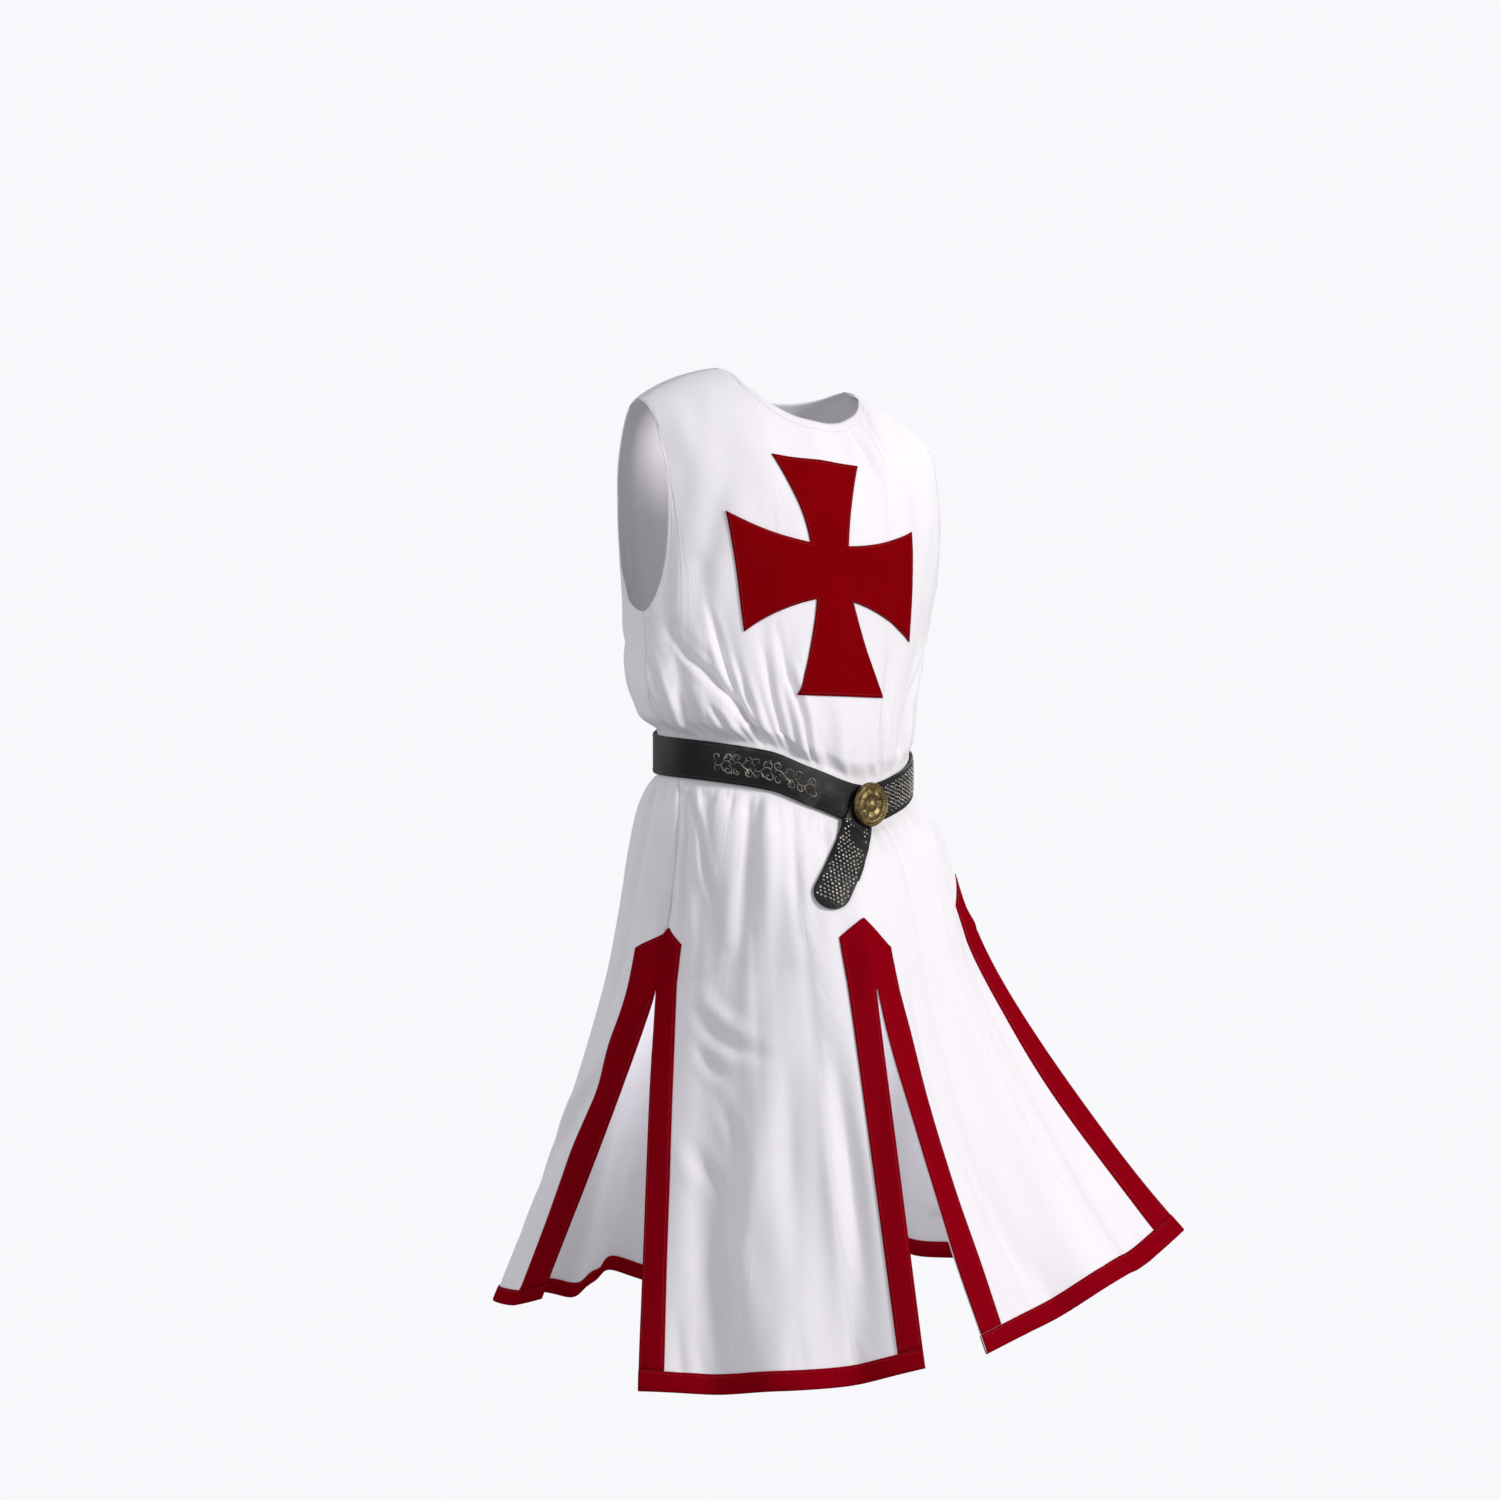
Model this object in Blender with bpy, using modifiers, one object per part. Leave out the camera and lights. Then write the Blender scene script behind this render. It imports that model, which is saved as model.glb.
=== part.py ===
"""A knee-length white tabard with red slit facings, red hem bindings, a red cross and a leather belt.

The cloth is one smooth surface round a general figure. A point on it is named by its turn and its drop.
Turn is 0 at the centre front, 1 at the left side seam, 2 at the centre back and 3 or -1 at the right side
seam. Drop runs down a column of the cloth, from its top edge to the waist and from the waist to the hem.
Metres, +Z up, the front faces -Y. The origin lies between the shoulders, level with the neck seams.
"""
import math

import bmesh
import bpy
import numpy as np
from mathutils import Vector

# Cloth and seams
CLOTH = 0.0016
TRIM = 0.0010
GAP = 0.0003
SEAM_PULL = 0.0004
SEAM_RISE = 0.0009
TRIM_WIDTH = 0.028
HEM_WIDTH = 0.019
TRIM_LIFT = CLOTH / 2 + GAP + 0.0002

# Neck, shoulders and armholes, as angles from the middle of the front or back and heights
NECK_ANGLE = math.radians(22)
TIP_ANGLE = math.radians(59)
SEAM_ANGLE = math.radians(82)
FRONT_NECK_DROP = 0.050
BACK_NECK_DROP = 0.020
SHOULDER_SLOPE = 0.045
UNDERARM = -0.26
CHEST_TOP = -0.19
SHOULDER_ROLL = math.radians(8)

# Belt
BUCKLE_ANGLE = math.radians(10)
BELT_WIDTH = 0.042
BELT_THICKNESS = 0.0035
BELT_HALF = BELT_WIDTH / 2
BELT_COVER = 0.027
BUCKLE_RADIUS = 0.024
BUCKLE_RISE = 0.008
TAIL_LENGTH = 0.122
TAIL_WIDTH = 0.035
TAIL_START = -0.012
TAIL_LEAN = math.radians(29)
TAIL_THICKNESS = 0.003
STRAP_INSIDE = CLOTH / 2 + GAP + 0.0008
STRAP_OUTSIDE = STRAP_INSIDE + BELT_THICKNESS + GAP + 0.0005
TAIL_REST = CLOTH / 2 + GAP + 0.0010
BUCKLE_SEAT = 0.0032
FRONT_TURN_LENGTH = 0.200

# Cross, measured along the cloth from its middle, which is named by turn and height
CROSS_TURN = -0.012
CROSS_HEIGHT = -0.217
CROSS_LEAN = 0.35
CROSS_ARMS = {"up": (0.124, 0.047), "down": (0.124, 0.058), "right": (0.113, 0.061), "left": (0.110, 0.061)}
CROSS_INNER = ((-0.025, 0.019), (-0.023, 0.036))
CROSS_BOW = 0.004
CHEST_TURN_LENGTH = 0.255
SIDE_STEPS = 4
PRISM_START = -0.25
PRISM_LENGTH = 0.22

# Height of the belt's middle at each angle round the waist, in degrees
BELT_LINE = {
    "angle":  [-180, -116, -70, -35, -15, 10, 35, 64, 120, 180],
    "height": [-0.385, -0.402, -0.408, -0.419, -0.438, -0.457, -0.445, -0.427, -0.404, -0.385],
}

# Sections of the body from shoulder to waist: level is 0 at the shoulders and 1 at the waist
SECTIONS = {
    "name":        ["shoulder", "yoke", "chest", "ribs", "blouse", "tuck", "belt top", "waist"],
    "level":       [0.00, 0.19, 0.48, 0.65, 0.80, 0.90, 0.945, 1.00],
    "half_width":  [0.203, 0.196, 0.183, 0.177, 0.172, 0.164, 0.149, 0.149],
    "half_depth":  [0.112, 0.120, 0.125, 0.122, 0.121, 0.117, 0.107, 0.107],
    "centre_x":    [-0.012, -0.013, -0.014, -0.019, -0.023, -0.018, -0.008, -0.008],
    "twist":       [-10.0, -8.0, -6.0, -3.5, -1.0, 0.0, 0.0, 0.0],
}

# Hem of each panel, from its first corner to its last, and the turn where the panel starts and ends
HEMS = {
    "front_right": {
        "turn": (-1.0, 0.0),
        "share": [0.0, 0.5, 1.0],
        "x": [-0.264, -0.166, -0.058],
        "y": [-0.097, -0.216, -0.315],
        "z": [-1.058, -1.052, -1.024],
    },
    "front_left": {
        "turn": (0.0, 1.0),
        "share": [0.0, 0.5, 1.0],
        "x": [0.002, 0.164, 0.319],
        "y": [-0.340, -0.325, -0.282],
        "z": [-1.012, -0.966, -0.918],
    },
    "back": {
        "turn": (1.0, 3.0),
        "share": [0.0, 0.24, 0.48, 0.70, 0.89, 0.943, 1.0],
        "x": [0.300, 0.220, 0.070, -0.075, -0.199, -0.205, -0.190],
        "y": [0.050, 0.265, 0.368, 0.358, 0.285, 0.234, 0.205],
        "z": [-0.985, -1.005, -1.015, -1.018, -1.012, -1.006, -1.000],
    },
}

# Where each slit's point, and the top of its opening, lie below the waist
SLITS = {
    "turn":  [-1.0, 0.0, 1.0, 2.0, 3.0],
    "point": [0.190, 0.131, 0.134, 0.150, 0.190],
    "open":  [0.258, 0.207, 0.204, 0.220, 0.258],
}

# How the hips push the upper skirt sideways at each turn
SWAY = {
    "turn": [-1.0, -0.5, 0.0, 0.5, 1.0, 1.5, 2.0, 2.5, 3.0],
    "x":    [0.034, 0.0, -0.024, 0.0, 0.012, 0.0, 0.0, 0.004, 0.034],
    "y":    [-0.018, 0.0, 0.0, 0.0, 0.0, 0.0, 0.010, -0.004, -0.018],
}
SWING_CURVE = {"front_right": 1.10, "front_left": 1.35, "back": 1.10}

# Main folds, each from one turn and height to another; depths are outwards, so a trough's is below zero
FOLD_COLUMNS = ("name", "turn_a", "height_a", "turn_b", "height_b", "half_width", "depth_a", "depth_b")
FOLDS = [
    ("fan high", -0.44, -0.394, -0.63, -0.204, 0.016, -0.006, -0.002),
    ("fan long", -0.48, -0.351, -0.80, -0.276, 0.016, -0.006, -0.003),
    ("fan side", -0.74, -0.381, -0.83, -0.276, 0.013, -0.006, -0.002),
    ("blouse right", -0.60, -0.352, -0.98, -0.338, 0.026, 0.004, 0.008),
    ("pleat one", -0.333, -0.397, -0.346, -0.260, 0.011, -0.006, -0.001),
    ("pleat two", -0.262, -0.402, -0.258, -0.281, 0.010, -0.005, -0.001),
    ("pleat three", -0.088, -0.419, -0.088, -0.344, 0.010, -0.005, -0.001),
    ("left pleat", 0.46, -0.400, 0.58, -0.270, 0.014, -0.006, -0.002),
    ("left side pleat", 0.80, -0.385, 0.86, -0.290, 0.014, -0.007, -0.002),
    ("back pleat left", 1.38, -0.375, 1.30, -0.230, 0.016, -0.008, -0.002),
    ("back pleat one", 1.72, -0.372, 1.68, -0.190, 0.014, -0.008, -0.001),
    ("back pleat two", 1.96, -0.370, 1.97, -0.215, 0.013, -0.007, -0.001),
    ("back pleat three", 2.22, -0.372, 2.28, -0.170, 0.015, -0.008, -0.001),
    ("back pleat right", 2.58, -0.375, 2.66, -0.240, 0.016, -0.007, -0.002),
    ("hip one", -0.90, -0.445, -0.87, -0.560, 0.012, -0.006, -0.001),
    ("hip two", -0.78, -0.445, -0.76, -0.575, 0.012, -0.005, -0.001),
    ("hip three", -0.56, -0.450, -0.58, -0.640, 0.022, -0.006, -0.002),
    ("hip front", -0.138, -0.476, -0.133, -0.520, 0.009, -0.005, -0.001),
    ("hip left", 0.75, -0.450, 0.79, -0.550, 0.014, -0.008, -0.002),
    ("right trough", -0.70, -0.620, -0.735, -1.050, 0.030, 0.0, -0.016),
    ("right ridge", -0.46, -0.640, -0.50, -1.050, 0.034, 0.0, 0.013),
    ("right inner trough", -0.20, -0.680, -0.25, -1.030, 0.030, 0.0, -0.010),
    ("left trough", 0.20, -0.620, 0.30, -0.980, 0.032, 0.0, -0.013),
    ("left ridge", 0.38, -0.590, 0.52, -0.960, 0.036, 0.003, 0.012),
    ("left outer trough", 0.66, -0.590, 0.78, -0.940, 0.030, 0.0, -0.011),
    ("back ridge one", 1.22, -0.480, 1.24, -1.000, 0.034, 0.004, 0.018),
    ("back trough one", 1.45, -0.460, 1.46, -1.010, 0.034, -0.004, -0.022),
    ("back ridge two", 1.66, -0.500, 1.68, -1.015, 0.032, 0.002, 0.020),
    ("back trough two", 1.88, -0.450, 1.90, -1.020, 0.034, -0.005, -0.024),
    ("back ridge three", 2.10, -0.520, 2.12, -1.020, 0.034, 0.002, 0.020),
    ("back trough three", 2.34, -0.455, 2.36, -1.020, 0.036, -0.004, -0.024),
    ("back ridge four", 2.58, -0.560, 2.62, -1.015, 0.040, 0.002, 0.004),
]
TURN_LENGTH = 0.27
BELT_CLEAR = 0.024
BELT_FADE = 0.016

# Rows above the waist, as shares of the way down and then as heights, and rows below it as distances
UPPER_ROWS = [0.0, 0.05, 0.12, 0.22, 0.34, 0.47, 0.60, 0.73, 0.86]
WAIST_ROWS = [0.075, 0.052, 0.036, 0.022, 0.0]
BELOW_ROWS = [0.0275, 0.041, 0.075]
SKIRT_ROWS = 7
COLUMNS = {"neck": 3, "shoulder": 4, "armhole": 5}
SIDE_COLUMNS = sum(COLUMNS.values())

WHITE = ("White twill", (0.83, 0.80, 0.82, 1.0), 0.85, 0.0)
RED = ("Red twill", (0.40, 0.010, 0.020, 1.0), 0.80, 0.0)
LEATHER = ("Black leather", (0.018, 0.016, 0.016, 1.0), 0.45, 0.0)
BRASS = ("Aged brass", (0.42, 0.31, 0.14, 1.0), 0.40, 1.0)


def clear_scene():
    for old in list(bpy.data.objects):
        bpy.data.objects.remove(old, do_unlink=True)


def material(recipe):
    name, colour, roughness, metallic = recipe
    found = bpy.data.materials.get(name)
    if found:
        return found
    made = bpy.data.materials.new(name)
    made.use_nodes = True
    shader = made.node_tree.nodes["Principled BSDF"]
    shader.inputs["Base Color"].default_value = colour
    shader.inputs["Roughness"].default_value = roughness
    shader.inputs["Metallic"].default_value = metallic
    made.diffuse_color = colour
    return made


# Curves through tables

def smooth_table(places, values, at):
    """Read a table as a smooth curve that passes through every row."""
    places = np.asarray(places, float)
    values = np.asarray(values, float)
    rise = np.diff(values) / np.diff(places)
    same_way = rise[:-1] * rise[1:] > 0
    total = np.where(same_way, rise[:-1] + rise[1:], 1)
    inside = np.where(same_way, 2 * rise[:-1] * rise[1:] / total, 0)
    slopes = np.concatenate([[1.5 * rise[0] - 0.5 * inside[0]], inside, [1.5 * rise[-1] - 0.5 * inside[-1]]])
    at = np.clip(at, places[0], places[-1])
    row = np.clip(np.searchsorted(places, at, side="right") - 1, 0, len(places) - 2)
    step = places[row + 1] - places[row]
    s = (at - places[row]) / step
    start = (2 * s**3 - 3 * s**2 + 1) * values[row] + (s**3 - 2 * s**2 + s) * step * slopes[row]
    end = (3 * s**2 - 2 * s**3) * values[row + 1] + (s**3 - s**2) * step * slopes[row + 1]
    return start + end


def angle_of(turn):
    """Angle round the body from the centre front, positive towards the left side."""
    turn = np.where(np.asarray(turn, float) > 2, np.asarray(turn, float) - 4, turn)
    far = SEAM_ANGLE + (np.abs(turn) - 1) * (math.pi - SEAM_ANGLE)
    return np.sign(turn) * np.where(np.abs(turn) <= 1, np.abs(turn) * SEAM_ANGLE, far)


def waist_height(angle):
    around = (np.degrees(angle) + 180) % 360 - 180
    return smooth_table(BELT_LINE["angle"], BELT_LINE["height"], around)


def shoulder_height(angle):
    """Height of the shoulder line above a point at this angle."""
    side = np.minimum(np.abs(angle), math.pi - np.abs(angle))
    out = np.maximum(side - NECK_ANGLE, 0) / (TIP_ANGLE - NECK_ANGLE)
    return -SHOULDER_SLOPE * out**1.2


def top_height(turn):
    """Height of the cloth's top edge: neckline, shoulder seam and armhole in turn."""
    angle = np.abs(angle_of(turn))
    back = angle > SEAM_ANGLE
    side = np.where(back, math.pi - angle, angle)
    last = np.where(back, math.pi - SEAM_ANGLE, SEAM_ANGLE)
    neck_drop = np.where(back, BACK_NECK_DROP, FRONT_NECK_DROP)
    across = np.clip(side / NECK_ANGLE, 0, 1)
    neck = -neck_drop * (1 - across**2) ** 0.6
    out = np.clip((side - TIP_ANGLE) / (last - TIP_ANGLE), 0, 1)
    armhole = -SHOULDER_SLOPE + (UNDERARM + SHOULDER_SLOPE) * np.sqrt(1 - (1 - out) ** 2)
    return np.where(side < NECK_ANGLE, neck, np.where(side > TIP_ANGLE, armhole, shoulder_height(angle)))


def body_point(turn, height):
    """Point of the bodice at a turn and a height measured before the shoulders are rolled."""
    angle = angle_of(turn)
    level = np.clip(height / waist_height(angle), 0, 1)
    column = {key: smooth_table(SECTIONS["level"], SECTIONS[key], level)
              for key in ("half_width", "half_depth", "centre_x", "twist")}
    reach = np.clip((height - CHEST_TOP) / (shoulder_height(angle) - CHEST_TOP), 0, 1)
    round_over = np.sqrt(np.maximum(1 - reach**2.4, 0))
    x = column["half_width"] * np.sin(angle)
    y = -column["half_depth"] * np.cos(angle) * round_over
    twist = np.radians(column["twist"])
    z = height - x * math.tan(SHOULDER_ROLL) * (1 - level)
    return np.stack([column["centre_x"] + x * np.cos(twist) - y * np.sin(twist),
                     x * np.sin(twist) + y * np.cos(twist), z], axis=-1)


def hem_points(panel, share):
    hem = HEMS[panel]
    return np.stack([smooth_table(hem["share"], hem[key], share) for key in "xyz"], axis=-1)


def hem_corner(panel, last):
    hem = HEMS[panel]
    return np.array([hem[key][-1 if last else 0] for key in "xyz"])


def slit_swing(panel, last):
    """How far the panel's corner has swung from the middle of its slit."""
    order = ["front_right", "front_left", "back"]
    place = order.index(panel)
    other = order[(place + 1) % 3] if last else order[place - 1]
    here = hem_corner(panel, last)
    return (here - hem_corner(other, not last)) / 2


def skirt_point(panel, turn, share_down):
    """Point of the skirt at a turn and a share of the way from the waist to the hem."""
    first, last = HEMS[panel]["turn"]
    across = (np.asarray(turn, float) - first) / (last - first)
    angle = angle_of(turn)
    waist = body_point(turn, waist_height(angle))
    hem = hem_points(panel, across)
    length = np.linalg.norm(hem - waist, axis=-1)
    opening = smooth_table(SLITS["turn"], SLITS["open"], turn) / length
    swing_first = (1 - across)[..., None] * slit_swing(panel, False)
    swing_last = across[..., None] * slit_swing(panel, True)
    closed_hem = hem - swing_first - swing_last
    hidden = BELT_COVER / length
    fall = np.clip((share_down - hidden) / (1 - hidden), 0, 1)
    flare = 0.030 * (1 - np.exp(-fall / 0.05)) * (1 - fall) ** 1.5
    outward = np.stack([np.sin(angle), -np.cos(angle), np.zeros_like(angle)], axis=-1)
    swing = (np.clip((share_down - opening) / (1 - opening), 0, 1) ** SWING_CURVE[panel])[..., None]
    push = (1 - np.exp(-fall / 0.08)) * (1 - fall) ** 1.2
    point = waist + (closed_hem - waist) * fall[..., None] + outward * flare[..., None]
    point[..., 0] += smooth_table(SWAY["turn"], SWAY["x"], turn) * push
    point[..., 1] += smooth_table(SWAY["turn"], SWAY["y"], turn) * push
    point[..., 2] = waist[..., 2] + (closed_hem - waist)[..., 2] * share_down
    return point + swing * (swing_first + swing_last)


def smooth_point(panel, turn, drop):
    """Unfolded cloth: drop 0 to 1 runs from the top edge to the waist, 1 to 2 from the waist to the hem."""
    turn = np.asarray(turn, float)
    drop = np.asarray(drop, float)
    top = top_height(turn)
    waist = waist_height(angle_of(turn))
    bodice = body_point(turn, top + (waist - top) * np.clip(drop, 0, 1))
    skirt = skirt_point(panel, turn, np.clip(drop - 1, 0, 1))
    return np.where((drop < 1)[..., None], bodice, skirt)


def fold_depth(turn, point):
    """Sum of the folds at each point of the cloth, outwards, none of them under the belt."""
    height = point[..., 2]
    total = np.zeros_like(height)
    for row in FOLDS:
        fold = dict(zip(FOLD_COLUMNS, row))
        run = np.array([(fold["turn_b"] - fold["turn_a"]) * TURN_LENGTH, fold["height_b"] - fold["height_a"]])
        across = ((turn - fold["turn_a"] + 2) % 4 - 2) * TURN_LENGTH
        down = height - fold["height_a"]
        along = np.clip((across * run[0] + down * run[1]) / (run @ run), 0, 1)
        away = np.hypot(across - along * run[0], down - along * run[1]) / fold["half_width"]
        depth = fold["depth_a"] + (fold["depth_b"] - fold["depth_a"]) * along
        total = total + depth * np.exp(-away**2)
    from_belt = np.abs(height - waist_height(angle_of(turn))) - BELT_CLEAR
    return total * np.clip(from_belt / BELT_FADE, 0, 1)


def cloth_point(panel, turn, drop):
    """Cloth with its main folds, moved along the surface's own outward direction."""
    base = smooth_point(panel, turn, drop)
    depth = fold_depth(turn, base)
    small = 0.01
    first, last = HEMS[panel]["turn"]
    side = np.where(turn + small > last, -small, small)
    rise = np.where(drop + small > 2, -small, small)
    across = (smooth_point(panel, turn + side, drop) - base) * np.sign(side)[..., None]
    down = (smooth_point(panel, turn, drop + rise) - base) * np.sign(rise)[..., None]
    normal = np.cross(down, across)
    normal /= np.linalg.norm(normal, axis=-1)[..., None] + 1e-12
    return base + normal * depth[..., None]


# Grid lines of the cloth

def column_turns(back, drop):
    """Turn of each column of a half panel, from its middle to its side seam, at one drop."""
    last = math.pi - SEAM_ANGLE if back else SEAM_ANGLE
    neck = np.linspace(0, NECK_ANGLE / last, COLUMNS["neck"] + 1)
    shoulder = np.linspace(NECK_ANGLE / last, TIP_ANGLE / last, COLUMNS["shoulder"] + 1)
    sweep = np.linspace(0, math.pi / 2, COLUMNS["armhole"] + 1)
    armhole = TIP_ANGLE / last + (1 - TIP_ANGLE / last) * (1 - np.cos(sweep))
    at_top = np.concatenate([neck, shoulder[1:], armhole[1:]])
    width = 0.20 + 0.12 * max(drop - 1, 0)
    band = TRIM_WIDTH / width
    inner = 0.0 if back else band
    at_hem = np.linspace(inner, 1 - band, SIDE_COLUMNS + (0 if back else -1))
    at_hem = np.concatenate([at_hem, [1.0]] if back else [[0.0], at_hem, [1.0]])
    blend = min(max((drop - 0.25) / 0.55, 0), 1)
    blend = blend * blend * (3 - 2 * blend)
    return at_top * (1 - blend) + at_hem * blend


def row_drops(turn, panel):
    """Drop of every row at one turn."""
    turn = float(turn)
    top = float(top_height(turn))
    waist = float(waist_height(angle_of(turn)))
    blouse = waist + WAIST_ROWS[0]
    rows = [(share**1.25) * (blouse - top) / (waist - top) for share in UPPER_ROWS]
    rows += [1 - rise / (top - waist) for rise in WAIST_ROWS]
    first, last = HEMS[panel]["turn"]
    across = (turn - first) / (last - first)
    start = body_point(turn, waist_height(angle_of(turn)))
    length = float(np.linalg.norm(hem_points(panel, np.float64(across)) - start))
    point = float(smooth_table(SLITS["turn"], SLITS["point"], turn))
    opening = float(smooth_table(SLITS["turn"], SLITS["open"], turn))
    below = BELOW_ROWS + [(BELOW_ROWS[-1] + point) / 2, point, point + TRIM_WIDTH, opening]
    band = length - HEM_WIDTH
    below += [opening + (band - opening) * n / SKIRT_ROWS for n in range(1, SKIRT_ROWS + 1)]
    below.append(length)
    return rows + [1 + distance / length for distance in below]


WAIST_ROW = len(UPPER_ROWS) + len(WAIST_ROWS) - 1
POINT_ROW = WAIST_ROW + len(BELOW_ROWS) + 2
OPEN_ROW = POINT_ROW + 2
BAND_ROW = OPEN_ROW + SKIRT_ROWS
HEM_ROW = BAND_ROW + 1
HALVES = {
    "front_right": ("front", -1, "front_right"),
    "front_left": ("front", 1, "front_left"),
    "back_left": ("back", -1, "back"),
    "back_right": ("back", 1, "back"),
}


def vertex_key(half, column, row):
    """Both halves of a panel share their middle column, but not along the front slit."""
    if column == 0 and (half.startswith("back") or row <= OPEN_ROW):
        return (half.split("_")[0], 0, row)
    return (half, column, row)


def half_points(half):
    """Points of half a panel, named by column and row."""
    piece, side, hem = HALVES[half]
    back = piece == "back"
    drops = np.linspace(0, 2, HEM_ROW + 1)
    turns = np.zeros((SIDE_COLUMNS + 1, HEM_ROW + 1))
    for step in range(3):
        for row in range(HEM_ROW + 1):
            turns[:, row] = column_turns(back, drops[row])
        middle = 2.0 if back else 0.0
        drops = np.array(row_drops(middle + side * 0.5, hem))
    points = {}
    middle = 2.0 if back else 0.0
    for column in range(SIDE_COLUMNS + 1):
        for row in range(HEM_ROW + 1):
            turn = middle + side * turns[column, row]
            drop = row_drops(turn, hem)[row]
            place = cloth_point(hem, np.array([turn]), np.array([drop]))[0]
            points[vertex_key(half, column, row)] = Vector(place)
    return points


def half_faces(half):
    """Pairs of triangles of half a panel, turning outwards, named by column and row."""
    side = HALVES[half][1]
    faces = {}
    for column in range(SIDE_COLUMNS):
        for row in range(HEM_ROW):
            ring = [vertex_key(half, column, row), vertex_key(half, column, row + 1),
                    vertex_key(half, column + 1, row + 1), vertex_key(half, column + 1, row)]
            faces[(half, column, row)] = split_ring(ring, column < SIDE_COLUMNS / 2, side)
    return faces


def split_ring(ring, from_first, side):
    """Split a ring of four into two triangles, so that all layers of cloth share their creases."""
    first, second, third, fourth = ring
    if from_first:
        pair = [[third, fourth, first], [first, second, third]]
    else:
        pair = [[fourth, first, second], [second, third, fourth]]
    return pair if side > 0 else [face[::-1] for face in pair]


def pull_seams(points, halves):
    """Draw the cloth back from its shoulder and side seams, so that two pieces meet with a gap."""
    first = COLUMNS["neck"]
    tip = first + COLUMNS["shoulder"]
    moves = {}
    for half in halves:
        for column in range(first, tip + 1):
            here = vertex_key(half, column, 0)
            moves[here] = points[vertex_key(half, column, 1)] - points[here]
        for row in range(OPEN_ROW + 1):
            here = vertex_key(half, SIDE_COLUMNS, row)
            moves[here] = points[vertex_key(half, SIDE_COLUMNS - 1, row)] - points[here]
    for key, direction in moves.items():
        points[key] += direction.normalized() * SEAM_PULL


# Making objects

def sheet_object(name, points, faces, thickness, side, recipe):
    """Make an open sheet of the faces and give it a wall: side -1 to 1 says where the sheet lies in it."""
    used = sorted({key for face in faces for key in face}, key=str)
    number = {key: place for place, key in enumerate(used)}
    mesh = bpy.data.meshes.new(name)
    mesh.from_pydata([points[key] for key in used], [], [[number[key] for key in face] for face in faces])
    mesh.shade_smooth()
    made = bpy.data.objects.new(name, mesh)
    made.data.materials.append(material(recipe))
    bpy.context.scene.collection.children[0].objects.link(made)
    wall = made.modifiers.new("Wall", "SOLIDIFY")
    wall.thickness = thickness
    wall.offset = side
    normals = {key: mesh.vertices[number[key]].normal.copy() for key in used}
    return made, normals


def facing_faces(faces, halves):
    """Triangles of a slit facing: a pointed top, shoulders and two legs."""
    chosen = []
    for half, column in halves:
        for row in range(POINT_ROW, BAND_ROW):
            pair = faces[(half, column, row)]
            outer = column + 1 if column == 0 else column
            beyond = vertex_key(half, outer, POINT_ROW)
            chosen += [face for face in pair if beyond not in face]
    return chosen


def make_facing(name, columns, points, faces, normals):
    """Lay a red facing on the cloth round one slit, clear of the hem binding below it."""
    chosen = facing_faces(faces, columns)
    keys = {key for face in chosen for key in face}
    laid = {key: points[key] + normals[key] * TRIM_LIFT for key in keys}
    for key in keys:
        if key[2] == BAND_ROW:
            above = (key[0], key[1], BAND_ROW - 1)
            laid[key] += (laid[above] - laid[key]).normalized() * GAP * 2
    seam = {}
    for key in keys:
        if key[1] == SIDE_COLUMNS and key[2] <= OPEN_ROW:
            seam.setdefault(key[2], []).append(key)
    same = {}
    for row, pair in seam.items():
        outward = sum((normals[key] for key in pair), Vector()).normalized()
        centre = sum((laid[key] for key in pair), Vector()) / len(pair) + outward * SEAM_RISE
        for key in pair:
            same[key] = ("seam", SIDE_COLUMNS, row)
            laid[same[key]] = centre
    chosen = [[same.get(key, key) for key in face] for face in chosen]
    return sheet_object(name, laid, chosen, TRIM, 1, RED)[0]


def make_hem_trim(name, halves, points, faces, normals):
    """Fold a red binding round the hem, from the outside of the cloth under its edge to the inside."""
    ring = []
    for half in halves:
        columns = list(range(SIDE_COLUMNS + 1))
        if HALVES[half][1] < 0:
            columns.reverse()
        ring += [(half, column) for column in columns]
    edge = []
    for half, column in ring:
        key = vertex_key(half, column, HEM_ROW)
        if not edge or edge[-1][0] != key:
            edge.append((key, vertex_key(half, column, BAND_ROW)))
    down = GAP + 0.0002
    reversed_first = HALVES[halves[0]][1] < 0
    laid = {}
    for place, (hem, band) in enumerate(edge):
        fall = (points[hem] - points[band]).normalized()
        stops = [(points[band], 1, normals[band]), (points[hem] + fall * down, 1, normals[hem]),
                 (points[hem] + fall * down, -1, normals[hem]), (points[band], -1, normals[band])]
        for step, (at, way, out) in enumerate(stops):
            laid[("trim", place, step)] = at + out * way * TRIM_LIFT
    chosen = []
    for place in range(len(edge) - 1):
        wide = SIDE_COLUMNS - 1 if reversed_first else 0
        column = abs(place - wide) if place < SIDE_COLUMNS else place - SIDE_COLUMNS
        for step in range(3):
            ring = [("trim", place, step), ("trim", place, step + 1),
                    ("trim", place + 1, step + 1), ("trim", place + 1, step)]
            outward = column < SIDE_COLUMNS / 2
            rising = place < SIDE_COLUMNS and reversed_first
            chosen += split_ring(ring, (outward != rising) != (step > 0), 1)
    return sheet_object(name, laid, chosen, TRIM, 1, RED)[0]


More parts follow.
